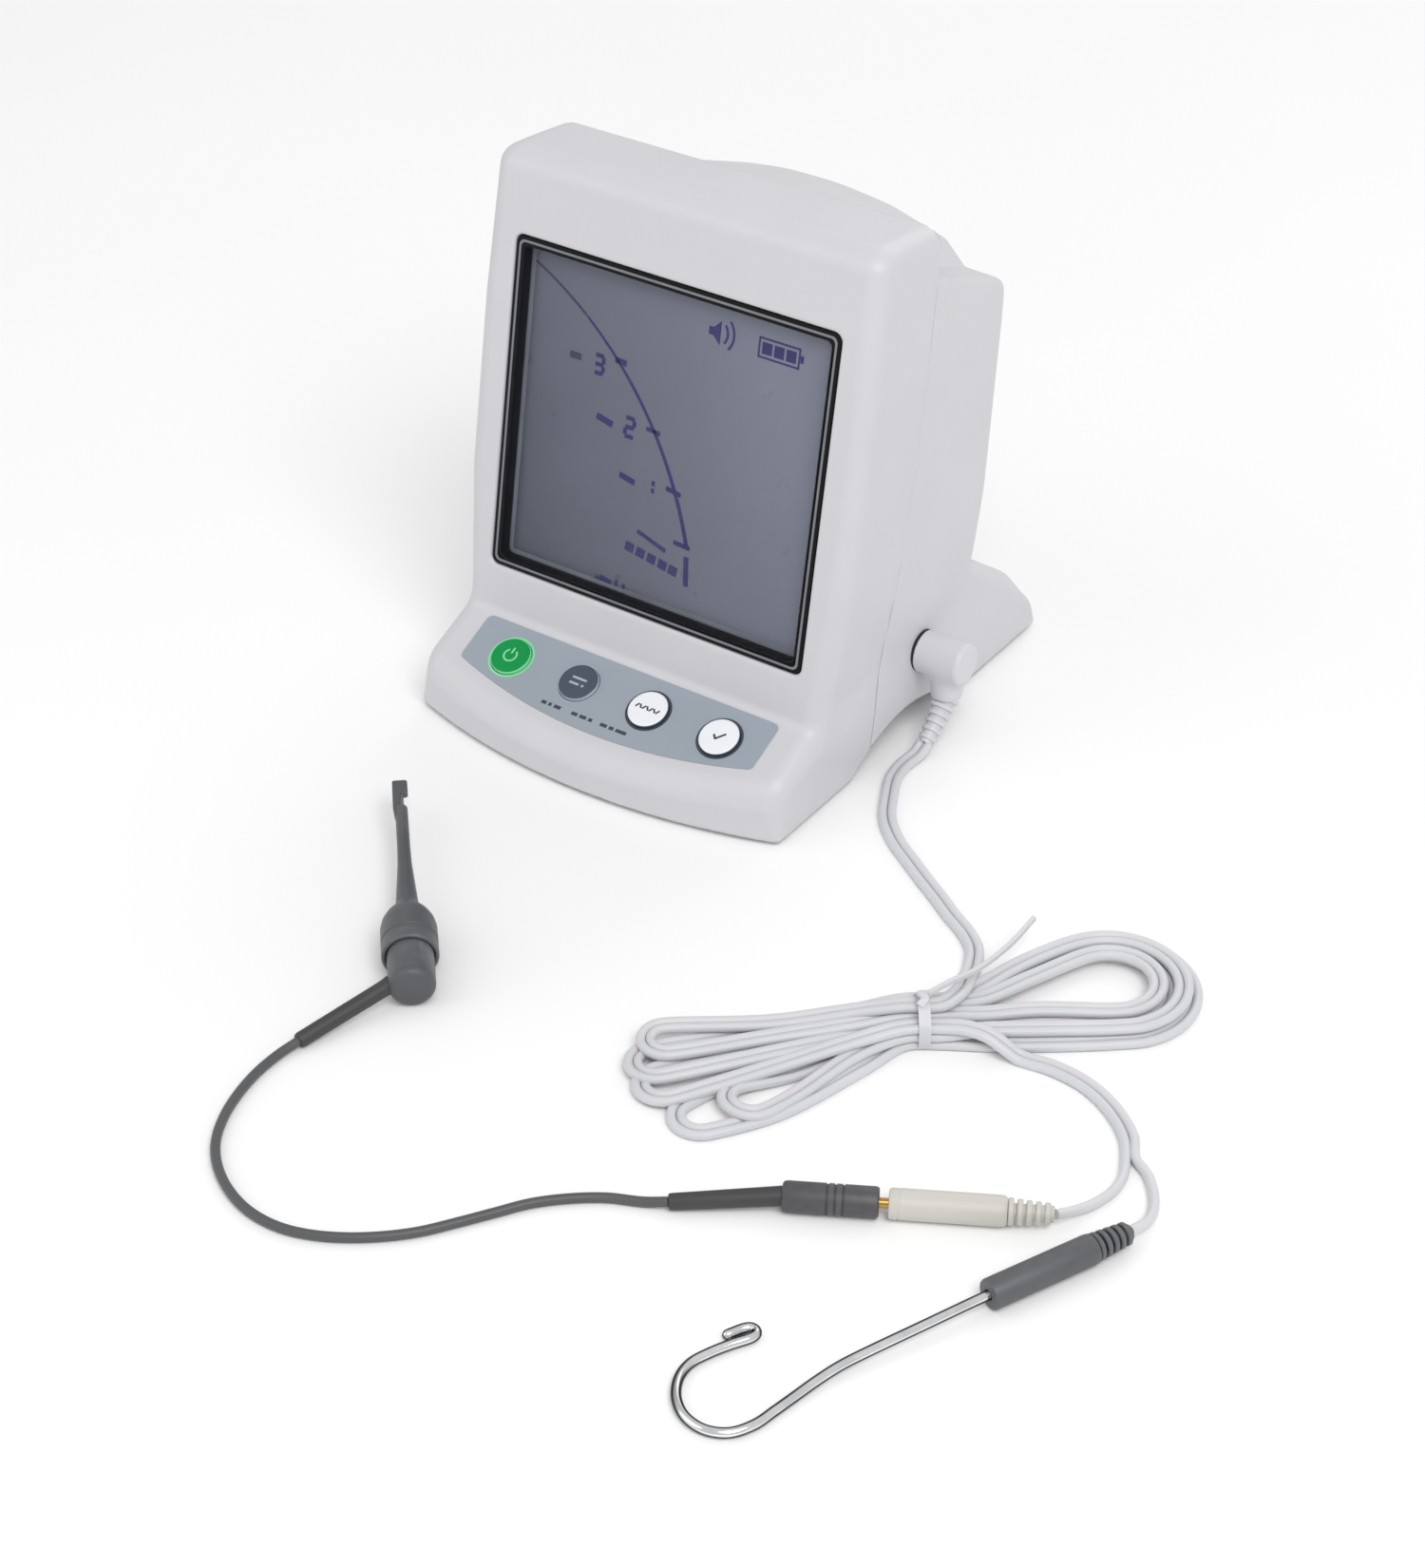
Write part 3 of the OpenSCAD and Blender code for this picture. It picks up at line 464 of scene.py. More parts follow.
def add_studio():
    scene = bpy.context.scene
    scene.view_settings.view_transform = "Standard"
    world = bpy.data.worlds.new("studio")
    world.use_nodes = True
    background = world.node_tree.nodes["Background"].inputs
    background["Color"].default_value = (1, 1, 1, 1)
    background["Strength"].default_value = WORLD_STRENGTH
    scene.world = world
    for light in LIGHTS:
        add_area_light(*light)
    finish = Finish("floor_white")
    tone = finish.ramp(finish.noise(400), 0.3, 0.7, (shade(srgb("#f7f7f7"), 0.995), srgb("#fafafa")))
    finish.set(Base_Color=tone, Roughness=0.85, Specular_IOR_Level=0.1)
    mesh = bpy.data.meshes.new("floor")
    corners = [(x * FLOOR_REACH, y * FLOOR_REACH, 0) for x, y in ((-1, -1), (1, -1), (1, 1), (-1, 1))]
    mesh.from_pydata(corners, [], [(0, 1, 2, 3)])
    mesh.materials.append(finish.material)
    add_to_scene("floor", mesh)


add_camera()
add_studio()


# ---- cords ----

WIRE_R = 1.0
# Routes on the table, as in the CAD source
LEAD_ROUTE = [(55.8, -2.2, 2.9), (55.6, -5, 1.6), (55, -10, 1), (56, -15.5, 1), (58.5, -21, 1),
              (63, -29, 1), (69, -35, 1), (75.5, -39.5, 1), (81.5, -43.5, 1), (87, -47, 1),
              (93, -51, 1), (98, -54, 1), (102, -57.5, 1), (104.5, -62, 1), (106.5, -68, 1)]
TWIN_ROUTE = [(127.5, -82.5, 1), (135, -81.5, 1), (143, -82.5, 1), (150.5, -86, 1), (156.5, -91, 1),
              (160, -96.5, 1)]
CLIP_BRANCH_ROUTE = [(161.6, -101, 1), (161.6, -106.5, 1), (160.2, -112, 1.2), (158.4, -116.5, 2),
                     (157, -119.8, 3)]
HOOK_BRANCH_ROUTE = [(164.5, -99, 1), (168.5, -103, 1), (170.8, -108, 1.4), (171.2, -112, 2.2),
                     (170.4, -115.9, 3)]
CLIP_ROUTE = [(95.4, -156.6, 1.7), (91, -158.8, 1.1), (85, -161.5, 1), (79.5, -165.5, 1),
              (74.2, -170.8, 1), (70, -177, 1), (66, -183, 1), (61.7, -189, 1), (56.7, -194, 1),
              (51, -198.2, 1), (45, -201.2, 1), (39, -202.7, 1), (32, -202.4, 1), (25, -200, 1),
              (18.5, -195.8, 1), (14, -191, 1), (10.7, -185, 1), (8.5, -178.5, 1), (7.2, -171.5, 1),
              (7.2, -165, 1.2), (8.2, -160, 1.7)]

HANK = np.array([107.0, -86.0, 0.0])
HANK_YAW = math.radians(36.9)
# Lobes on the left of the tie, from the first to the last: middle and radius of the fold's round
# end, two points (x, y, height) on the way out and two on the way back
LEFT_FOLDS = [ ((-50.8, -3.7), 4.2, [(-13, 1.2, 5.2), (-30, 0.6, 3.2)], 3.0,
              [(-30, -3.6, 3.0), (-13, -1.5, 4.2)]), ((-52.6, -9.2), 5.0,
              [(-13, 3.2, 3.4), (-30, 1.0, 1.0)], 1.9, [(-30, -8.6, 3.0), (-13, -3.8, 3.0)]),
              ((-35.0, -21.0), 4.7, [(-13, -5.0, 1.0), (-26, -12.6, 1.0)], 2.6,
              [(-26, -19.6, 1.6), (-13, -8.6, 2.6)]), ((-44.8, -24.6), 4.8,
              [(-13, 0.2, 2.8), (-30, -8.4, 1.0)], 1.0, [(-30, -24.2, 1.0), (-13, -11.6, 1.0)]),
              ((-51.2, -15.4), 5.0, [(-13, 1.8, 1.2), (-30, -3.4, 1.0)], 1.4,
              [(-30, -12.8, 3.0), (-13, -6.6, 4.2)])]
# Places (y, height) in the waist where each left lobe starts and ends
WAIST_OUT = [(0.4, 7.0), (4.1, 5.0), (0.0, 1.0), (4.1, 3.0), (4.1, 1.0)]
WAIST_BACK = [(0.0, 5.0), (0.0, 3.0), (-4.1, 3.0), (-4.1, 1.0), (-4.1, 5.0)]
# Lobes on the right: how far each lies inwards of the outermost, and its height
RIGHT_FOLDS = [(1.0, 3.0), (0.72, 1.0), (0.28, 3.0), (0.0, 1.0)]
WAIST_REACH = 3.6


def run_along(line):
    return np.concatenate([[0], np.cumsum(np.linalg.norm(np.diff(line, axis=0), axis=1))])


def smooth_line(points, step=1.0):
    """Evenly spaced points on a smooth curve through the given ones."""
    p = np.array(points, float)
    p = np.vstack([2 * p[0] - p[1], p, 2 * p[-1] - p[-2]])
    knots = np.concatenate([[0], np.cumsum(np.sqrt(np.linalg.norm(np.diff(p, axis=0), axis=1)))])
    made = []
    for i in range(1, len(p) - 2):
        t0, t1, t2, t3 = knots[i - 1:i + 3]
        for t in np.linspace(t1, t2, 12, endpoint=False):
            a1 = (t1 - t) / (t1 - t0) * p[i - 1] + (t - t0) / (t1 - t0) * p[i]
            a2 = (t2 - t) / (t2 - t1) * p[i] + (t - t1) / (t2 - t1) * p[i + 1]
            a3 = (t3 - t) / (t3 - t2) * p[i + 1] + (t - t2) / (t3 - t2) * p[i + 2]
            b1 = (t2 - t) / (t2 - t0) * a1 + (t - t0) / (t2 - t0) * a2
            b2 = (t3 - t) / (t3 - t1) * a2 + (t - t1) / (t3 - t1) * a3
            made.append((t2 - t) / (t2 - t1) * b1 + (t - t1) / (t2 - t1) * b2)
    made = np.vstack([*made, p[-2]])
    run = run_along(made)
    at = np.linspace(0, run[-1], max(2, int(run[-1] / step)))
    return np.column_stack([np.interp(at, run, made[:, k]) for k in range(3)])


def left_lobe(middle, radius, out, end_height, back):
    """One lobe on the left: out along the top, round the end where it touches the circle, and back."""
    def touch(point, turn):
        dx, dy = point[0] - middle[0], point[1] - middle[1]
        return math.atan2(dy, dx) + turn * math.acos(radius / math.hypot(dx, dy))
    start, stop = touch(out[-1], 1), touch(back[0], -1) + math.tau
    arc = []
    for k, a in enumerate(np.linspace(start, stop, 9)):
        near = out[-1][2] if k < 4 else back[0][2]
        height = end_height + (near - end_height) * abs(k - 4) / 8
        arc.append((middle[0] + radius * math.cos(a), middle[1] + radius * math.sin(a), height))
    return [*out, *arc, *back]


def right_lobe(inward, height):
    """One lobe on the right: out along the near side, round the end, and back on the far side."""
    def mix(outer, inner):
        return [o + inward * (i - o) for o, i in zip(outer, inner)]
    arc = [(x, y, height) for x, y in arc_points(*mix((39.5, 11.0, 16.3), (39.5, 11.4, 9.4)), -95, 112, 10)]
    near = [(*mix((12, -5.0), (12, 2.0)), height), (*mix((23, -5.5), (23, 3.0)), height)]
    far = [(*mix((22, 20.0), (23, 12.8)), height), (*mix((12, 11.4), (12, 6.6)), height)]
    return [*near, *arc, *far]


def waist(y, height, towards_left):
    ends = (WAIST_REACH, -WAIST_REACH) if towards_left else (-WAIST_REACH, WAIST_REACH)
    return [(x, y, height) for x in ends]


def from_hank(points):
    """Points of the hank's frame in the row frame."""
    s, c = sin_cos(HANK_YAW)
    return [HANK + np.array([x * c - y * s, x * s + y * c, z]) for x, y, z in points]


def hank_line():
    """The twin's whole way through the hank, in the row frame."""
    points = [(10.0, 11.6, 4.6), (8.9, 7.6, 5.6), (6.8, 3.6, 6.5)]
    for turn, fold in enumerate(LEFT_FOLDS):
        points += [*waist(*WAIST_OUT[turn], True), *left_lobe(*fold), *waist(*WAIST_BACK[turn], False)]
        if turn < len(RIGHT_FOLDS):
            points += right_lobe(*RIGHT_FOLDS[turn])
    return from_hank([*points, (8.2, -4.8, 5.0), (12.6, -6.6, 4.4), (16.2, -8.5, 2.4)])


def beside(line, distance, fade_from, fade=12.0):
    """A line moved sideways; past point fade_from the distance fades away."""
    along = np.gradient(line, axis=0)
    flat = np.column_stack([-along[:, 1], along[:, 0], np.zeros(len(line))])
    flat /= np.maximum(np.linalg.norm(flat, axis=1), 1e-9)[:, None]
    run = run_along(line)
    share = np.clip(1 - (run - run[fade_from]) / fade, 0, 1)
    share = share * share * (3 - 2 * share)
    return line + flat * (distance * share)[:, None]


def cord_curve(name, line, radius, material, body, replaces):
    curve = bpy.data.curves.new("cord", "CURVE")
    curve.dimensions, curve.bevel_depth, curve.bevel_resolution = "3D", radius * MM, 4
    curve.use_fill_caps = True
    spline = curve.splines.new("POLY")
    spline.points.add(len(line) - 1)
    for point, co in zip(spline.points, line):
        point.co = (*(co * MM), 1)
    spline.use_smooth = True
    return new_object(name, curve, material, body, replaces)


def add_conductor(name, branch, side, replaces):
    """One conductor of the twin, from the plug's relief to its own connector."""
    main = [*LEAD_ROUTE, *hank_line(), *TWIN_ROUTE]
    line = smooth_line([*main, *branch])
    split = int(np.argmin(np.linalg.norm(line - np.array(TWIN_ROUTE[-1]), axis=1)))
    line = beside(line, side * WIRE_R, split)
    return cord_curve(name, line, WIRE_R, PVC, "lead", replaces), line


clip_conductor, clip_line = add_conductor("clip_conductor", CLIP_BRANCH_ROUTE, -1,
                                          ["lead_cable", "lead_hank", "twin_cable", "clip_branch"])
hook_conductor, hook_line = add_conductor("hook_conductor", HOOK_BRANCH_ROUTE, 1, ["hook_branch"])
clip_cord_line = smooth_line(CLIP_ROUTE)
clip_cord = cord_curve("clip_cord", clip_cord_line, WIRE_R, GREY_CORD, "clip_lead",
                       ["clip_cable"])


# ---- housing shells ----

BASE_Z, WALL, SEAM = 0.6, 2.2, 23.0
SCREEN_W, SCREEN_H = 83.7, 77.1
KEY_X = [(i - 1.5) * 18.9 + 0.5 for i in range(4)]
KEY_V, KEY_R, KEY_HOLE_R, SHELL_HOLE_R = -8.4, 4.6, 4.85, 4.95
FRONT_ARC_R, FRONT_ARC_Y = 145.5, 86.5
ARCH_R, ARCH_Y, ARCH_Z = 36.1, 0.5, -28.4
BOSSES = [(43.2, 27.0), (43.2, -27.0)]
# How far the edges of the shells and of their openings are rounded
SEAM_EDGE, SCREEN_EDGE, DOOR_EDGE, BORE_EDGE, CROWN_EDGE, ARCH_EDGE = 0.22, 0.7, 0.35, 0.4, 1.6, 1.2
SEAM_GAP, SCREEN_DEPTH, SCREEN_CORNER = 0.08, 9, 2.0
# Screw posts of the front shell, and screw tubes of the rear one with their counterbores
POST_R, POST_TOP, PILOT_R, PILOT_TOP = 3.7, -12, 1.2, -14
TUBE_R, SCREW_R, COUNTERBORE_R, COUNTERBORE_TOP = 4.4, 1.65, 3.1, -29
DOOR_GAP, RECESS = 0.3, 6
JACK_HOLE_R, JACK_HOLE_START = 4, 40
SLOT_R, SLOT_PITCH, SLOT_HALF_L, SLOT_X, SLOT_Y, SLOT_TOP = 0.6, 2.6, 4, -22, 46, 8
JACK = (49.0, 7.0, 20.2)
DOOR_W, DOOR_H = 64.0, 58.0


def face_y(z):
    return FACE.origin[1] + (z - FACE.origin[2]) * math.tan(FACE_TILT)


def deck_z(y):
    return DECK.origin[2] + (y - DECK.origin[1]) * math.tan(DECK_SLOPE)


def back_y(z):
    return REAR.origin[1] + (z - REAR.origin[2]) * math.tan(REAR_LEAN)


class Section:
    """Signed distance to a rounded outline in a plane, tabulated once and read off smoothly."""

    def __init__(self, corners, low, high, step=0.4):
        line = rounded_outline(corners, 10)
        self.low, self.step = np.array(low, float), step
        a, b = np.meshgrid(*(np.arange(p, q + step, step) for p, q in zip(low, high)), indexing="ij")
        nearest, inside = np.full(a.shape, 1e9), np.zeros(a.shape, bool)
        for (p, q), (r, s) in zip(line, np.roll(line, -1, axis=0)):
            du, dv = r - p, s - q
            size = du * du + dv * dv
            if size < 1e-12:
                continue
            t = np.clip(((a - p) * du + (b - q) * dv) / size, 0, 1)
            nearest = np.minimum(nearest, (a - p - t * du) ** 2 + (b - q - t * dv) ** 2)
            if dv:
                inside ^= ((q > b) != (s > b)) & (a < p + (b - q) * du / dv)
        self.table = np.sqrt(nearest) * np.where(inside, -1, 1)

    def __call__(self, a, b):
        i, j = (np.broadcast_arrays(a, b)[k] / self.step - self.low[k] / self.step for k in (0, 1))
        i = np.clip(i, 0, self.table.shape[0] - 1.001)
        j = np.clip(j, 0, self.table.shape[1] - 1.001)
        i0, j0 = i.astype(int), j.astype(int)
        fi, fj = i - i0, j - j0
        t = self.table
        return ((t[i0, j0] * (1 - fi) + t[i0 + 1, j0] * fi) * (1 - fj)
                + (t[i0, j0 + 1] * (1 - fi) + t[i0 + 1, j0 + 1] * fi) * fj)


def mirrored(right_half):
    return [*right_half, *((-x, z, r) for x, z, r in reversed(right_half))]


VALLEY_Z = 20.72
# The deck runs on past the rounded front, which cuts it off
SIDE = Section([(-72, BASE_Z, 0.8), (58.6, BASE_Z, 0.8), (58.2, 7.4, 7), (48.6, 18.5, 12),
               (29.3, 32.4, 4), (back_y(111.2), 111.2, 5), (9.5, 122.2, 8), (face_y(126.2), 126.2, 6),
               (face_y(VALLEY_Z), VALLEY_Z, 3), (-72, deck_z(-72), 0.5)], (-80, -10), (70, 140))
ACROSS = Section(mirrored([(49, BASE_Z, 0.8), (49, 15, 12), (48.4, 24, 20), (50.6, 52, 60),
                 (50.6, 92, 60), (49.3, 126.2, 5)]), (-1, -10), (60, 140))
CROWN = Section(mirrored([(50.7, -150, 0), (50.7, -11.2, 3), (39, -10.8, 1.5), (33.5, -5.9, 2),
                (19, -2.1, 30), (6, -0.2, 40)]), (-1, -160), (60, 20))


def meet(a, b, r):
    """Where two fields meet, the edge is rounded."""
    return np.minimum(np.maximum(a, b), -r) + np.hypot(np.maximum(a + r, 0), np.maximum(b + r, 0))


def plate_field(u, v, w, h, r):
    """Distance to an upright rounded rectangle through its frame's origin."""
    du, dv = np.abs(u) - w / 2 + r, np.abs(v) - h / 2 + r
    return np.hypot(np.maximum(du, 0), np.maximum(dv, 0)) + np.minimum(np.maximum(du, dv), 0) - r


def body_field(x, y, z):
    """The unit's outer form, its edges softer from the base upwards."""
    r = np.clip(0.8 + 0.4 * (z - BASE_Z), 0.8, 4.5)
    walls = meet(SIDE(y, z), ACROSS(np.abs(x), z), r)
    whole = meet(walls, np.hypot(x, y - FRONT_ARC_Y) - FRONT_ARC_R, r)
    return meet(whole, ARCH_R - np.hypot(y - ARCH_Y, z - ARCH_Z), ARCH_EDGE)


def crown_field(x, y, z):
    out = (y - ROOF.origin[1]) * ROOF.out[1] + (z - ROOF.origin[2]) * ROOF.out[2]
    return CROWN(np.abs(x), out)


def front_field(x, y, z):
    u, v, w = FACE.local(x, y, z)
    du, dv, dw = DECK.local(x, y, z)
    body, crown = body_field(x, y, z), crown_field(x, y, z)
    shell = meet(body, -(w + SEAM), SEAM_EDGE)
    hollow = np.maximum(body + WALL, np.minimum(-(w + SEAM - WALL), crown + WALL))
    shell = np.maximum(shell, -hollow)
    for bu, bv in BOSSES:
        post = np.hypot(np.abs(u) - bu, v - bv)
        shell = np.minimum(shell, np.maximum(np.maximum(post - POST_R, -(w + SEAM)), w - POST_TOP))
        shell = np.maximum(shell, -np.maximum(post - PILOT_R, w - PILOT_TOP))
    screen = np.maximum(plate_field(u, v, SCREEN_W, SCREEN_H, SCREEN_CORNER), -(w + SCREEN_DEPTH))
    shell = meet(shell, -screen, SCREEN_EDGE)
    for kx in KEY_X:
        hole = np.hypot(du - kx, dv - KEY_V) - SHELL_HOLE_R
        shell = np.maximum(shell, -np.maximum(hole, -(dw + RECESS)))
    return shell


def rear_field(x, y, z):
    u, v, w = FACE.local(x, y, z)
    ru, rv, rw = REAR.local(x, y, z)
    body = meet(body_field(x, y, z), crown_field(x, y, z), CROWN_EDGE)
    shell = meet(body, w + SEAM + SEAM_GAP, SEAM_EDGE)
    shell = np.maximum(shell, -np.maximum(body + WALL, w + SEAM - 3))
    for bu, bv in BOSSES:
        post = np.hypot(np.abs(u) - bu, v - bv)
        tube = np.maximum(np.maximum(post - TUBE_R, w + SEAM + 0.12), body)
        shell = np.minimum(shell, tube)
        bore = np.minimum(post - SCREW_R, np.maximum(post - COUNTERBORE_R, w - COUNTERBORE_TOP))
        shell = meet(shell, -bore, BORE_EDGE)
    door = plate_field(ru, rv, DOOR_W + 2 * DOOR_GAP, DOOR_H + 2 * DOOR_GAP, 0.8)
    door = np.maximum(door, -(rw + RECESS))
    shell = meet(shell, -door, DOOR_EDGE)
    jack = np.maximum(np.hypot(y - JACK[1], z - JACK[2]) - JACK_HOLE_R, JACK_HOLE_START - x)
    shell = np.maximum(shell, -jack)
    for k in range(-2, 3):
        along = np.maximum(np.abs(x - SLOT_X) - SLOT_HALF_L, 0)
        slot = np.hypot(along, y - SLOT_Y - SLOT_PITCH * k) - SLOT_R
        shell = np.maximum(shell, -np.maximum(slot, z - SLOT_TOP))
    return shell


NET_STEP = 0.75
SLOPE_STEP, NET_TURNS = 0.04, 3


def net_mesh(field, low, high, step):
    """Mesh of a field's zero surface: one vertex a cell, drawn onto the surface, in the face's frame."""
    axes = [np.arange(p, q + step, step) for p, q in zip(low, high)]
    v, w = np.meshgrid(axes[1], axes[2], indexing="ij")
    value = np.stack([field(*(FACE.origin[k] + FACE.across[k] * u + FACE.up[k] * v + FACE.out[k] * w
                              for k in range(3))) for u in axes[0]])
    inside = value < 0
    ends = np.array(inside.shape) - 1
    count = sum(inside[i:ends[0] + i, j:ends[1] + j, k:ends[2] + k].astype(np.int8)
                for i in (0, 1) for j in (0, 1) for k in (0, 1))
    active = (count > 0) & (count < 8)
    index = np.full(active.shape, -1)
    index[active] = np.arange(active.sum())
    cells = np.argwhere(active)
    total, crossings = np.zeros((len(cells), 3)), np.zeros(len(cells))
    for axis in range(3):
        unit = np.eye(3, dtype=int)[axis]
        for i in (0, 1):
            for j in (0, 1):
                corner = np.insert([i, j], axis, 0)
                a = value[tuple((cells + corner).T)]
                b = value[tuple((cells + corner + unit).T)]
                hit = (a < 0) != (b < 0)
                share = np.where(hit, a / np.where(hit, a - b, 1), 0)
                total += np.where(hit[:, None], corner + unit * share[:, None], 0)
                crossings += hit
    local = np.array(low) + (cells + total / crossings[:, None]) * step
    points = FACE.origin + local[:, :1] * FACE.across + local[:, 1:2] * FACE.up + local[:, 2:] * FACE.out
    # Three steps down the field's slope, and the last turn's slope gives the normals
    for turn in range(NET_TURNS + 1):
        x, y, z = points.T
        slope = np.column_stack([field(*(points + way).T) - field(*(points - way).T)
                                 for way in np.eye(3) * SLOPE_STEP]) / (2 * SLOPE_STEP)
        size = np.maximum((slope ** 2).sum(axis=1), 0.2)
        if turn < NET_TURNS:
            points = points - slope * np.clip(field(x, y, z) / size, -step / 2, step / 2)[:, None]
    quads = []
    for axis in range(3):
        b, c = (axis + 1) % 3, (axis + 2) % 3
        ahead = np.moveaxis(inside, (axis, b, c), (0, 1, 2))
        number = np.moveaxis(index, (axis, b, c), (0, 1, 2))
        change = ahead[:-1] != ahead[1:]
        i, j, k = np.nonzero(change[:, 1:-1, 1:-1])
        j, k = j + 1, k + 1
        ring = np.column_stack([number[i, j + p, k + q] for p, q in ((-1, -1), (0, -1), (0, 0), (-1, 0))])
        outward = ahead[:-1][i, j, k]
        quads.append(np.where(outward[:, None], ring, ring[:, ::-1]))
    mesh = bpy.data.meshes.new("mesh")
    mesh.from_pydata((points * MM).tolist(), [], np.vstack(quads).tolist())
    mesh.shade_smooth()
    normals = slope / np.maximum(np.linalg.norm(slope, axis=1), 1e-9)[:, None]
    mesh.normals_split_custom_set_from_vertices(normals.tolist())
    return mesh


front_shell = net_mesh(front_field, (-53, -77, -25), (53, 62, 25), NET_STEP)
rear_shell = net_mesh(rear_field, (-53, -72, -99), (53, 62, -20), NET_STEP)
new_object("front_shell", front_shell, ABS, "unit", ["front_housing"])
new_object("rear_shell", rear_shell, ABS_REAR, "unit", ["rear_housing"])


# ---- finishes of the CAD nodes that stay ----

NODE_FINISH = {
    "screen_window": WINDOW, "lcd_panel": LCD, "lcd_backlight": DIFFUSER, "lcd_carrier": INNER,
    "main_board": BOARD, "key_board": BOARD, "board_screws": SCREW, "dome_switches": STEEL, "buzzer": BLACK,
    "ribbon_cable": COPPER, "battery_tray": BLACK, "battery_springs": SCREW, "battery_contacts": SCREW,
    "battery_leads": RED_WIRE, "battery_door_pin": SCREW, "housing_screws": SCREW, "rubber_feet": RUBBER,
    "aa_cell_1": CELL, "aa_cell_2": CELL, "aa_cell_3": CELL, "aa_cell_4": CELL, "jack_socket": BLACK,
    "lead_plug_pin": BRASS, "clip_plug_pin": BRASS}

for node_name, finish in NODE_FINISH.items():
    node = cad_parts[node_name]
    if not node.material_slots:
        node.data.materials.append(finish)
    for node_slot in node.material_slots:
        node_slot.material = finish


# ---- screen ----

BORDER, PANEL_TOP = 2.4, -3.5
PRINT_T = 0.03


def printed(name, outlines, place, height, material, body="unit"):
    """Flat printed or drawn shapes, a little proud of the surface they lie on."""
    points, faces = [], []
    for outline in outlines:
        n, first = len(outline), len(points)
        area = sum(p[0] * q[1] - q[0] * p[1] for p, q in zip(outline, np.roll(outline, -1, axis=0)))
        ring = outline if area > 0 else outline[::-1]
        points += [place.at(a, b, w) for w in (height, height + PRINT_T) for a, b in ring]
        faces.append(tuple(range(first + n, first + 2 * n)))
        faces += [(first + k, first + (k + 1) % n, first + n + (k + 1) % n, first + n + k)
                  for k in range(n)]
    return new_object(name, mesh_from(points, faces, 30), material, body)


def bar(x1, y1, x2, y2, width):
    return stroke([(x1, y1), (x2, y2)], width)


def digit(number, cx, cy, height):
    """A digit of straight strokes, as a liquid crystal shows it."""
    w, h, t = height * 0.27, height / 2, height * 0.24
    near, far = h * 0.15, h * 0.85
    strokes = {"top": (-w, h, w, h), "middle": (-w, 0, w, 0), "bottom": (-w, -h, w, -h),
               "upper": (w, far, w, near), "lower": (w, -near, w, -far), "left": (-w, -near, -w, -far)}
    shown = {1: "upper lower", 2: "top upper middle left bottom", 3: "top upper middle lower bottom"}
    return [bar(cx + a, cy + b, cx + c, cy + d, t)
            for a, b, c, d in (strokes[k] for k in shown[number].split())]


# The gauge is one arc that thickens downwards; its upper third is fainter
GAUGE = (-74.1, -45.1, 85.5)
FAINT_BARS = [(-27.3, 14.4, -24.2, 14.4, 1.6), (-15.6, -35.9, -14.4, -34.0, 0.9)]
DIGITS = [(3, -19.4, 14.1, 4.0), (2, -10.0, 2.3, 4.2), (1, -3.4, -9.3, 3.4)]
GAUGE_BARS = [
    (7.9, -22.4, 8.5, -29.2, 1.3), (4.2, -20.0, 8.6, -20.3, 1.1), (-18.9, 2.6, -14.5, 1.6, 1.5),
    (-11.5, -8.9, -7.3, -9.8, 1.4), (-15.4, 16.4, -12.3, 16.2, 1.4), (-5.7, 3.4, -2.0, 3.1, 1.0),
    (0.9, -8.4, 4.9, -9.0, 1.1), (-5.4, -20.4, 2.4, -22.8, 1.0)]
LOWER_BARS = [(-14.2, -34.6, -11.0, -35.2, 2.2), (-9.6, -33.4, -9.6, -36.6, 0.8),
              (-7.6, -33.8, -7.6, -36.8, 0.8)]
BATTERY_BARS = [(20.2, 31.4, 30.6, 31.4, 0.45), (20.2, 27.2, 30.6, 27.2, 0.45),
                (20.4, 27.2, 20.4, 31.4, 0.45), (30.4, 27.2, 30.4, 31.4, 0.45),
                (31.1, 28.5, 31.1, 30.1, 0.8), *((x, 28.0, x, 30.6, 2.5) for x in (22.4, 25.4, 28.4))]
# A row of plain blocks under the gauge's foot
BLOCK_BARS = [(x, -24.6 - 0.16 * (x + 8), x + 2.3, -24.6 - 0.16 * (x + 10.3), 2.2)
              for x in (-8.2, -5.2, -2.2, 0.8, 3.6)]
SPEAKER = [(7.6, 28.6), (8.8, 28.6), (10.6, 26.8), (10.6, 32.2), (8.8, 30.4), (7.6, 30.4)]

faint = [stroke(arc_points(*GAUGE, 66, 54, 30), 0.45, 1.5), *(bar(*b) for b in FAINT_BARS)]
drawn = [stroke(arc_points(*GAUGE, 53.8, 17.1, 70), 0.6, 1.7), np.array(SPEAKER)]
drawn += [bar(*b) for b in GAUGE_BARS + LOWER_BARS + BATTERY_BARS + BLOCK_BARS]
drawn += [stroke(arc_points(9.4, 29.5, r, -42, 42, 12), 0.6) for r in (3.0, 4.6)]
for shape in DIGITS:
    drawn += digit(*shape)
printed("lcd_segments", drawn, FACE, PANEL_TOP + 0.01, LCD_INK)
printed("lcd_faint_segments", faint, FACE, PANEL_TOP + 0.01, LCD_FAINT)


def border(outer, outer_r, inner, inner_r):
    """A frame between two rounded rectangles, given by how much smaller than the opening they are."""
    return [rectangle(SCREEN_W - d, SCREEN_H - d, r) for d, r in ((outer, outer_r), (inner, inner_r))]


new_object("gasket", slab(border(0.3, 1.85, 2 * BORDER, 1.3), FACE, -3.65, -0.4, 0.3, 3), GASKET, "unit",
           ["screen_gasket"])
# A thin raised line round the gasket's middle, coloured pale grey as a painted highlight along its rounded
# ridge
new_object("gasket_painted_highlight", slab(border(2.0, 1.5, 3.1, 1.2), FACE, -0.6, -0.25, 0.12), GASKET_HIGHLIGHT, "unit")
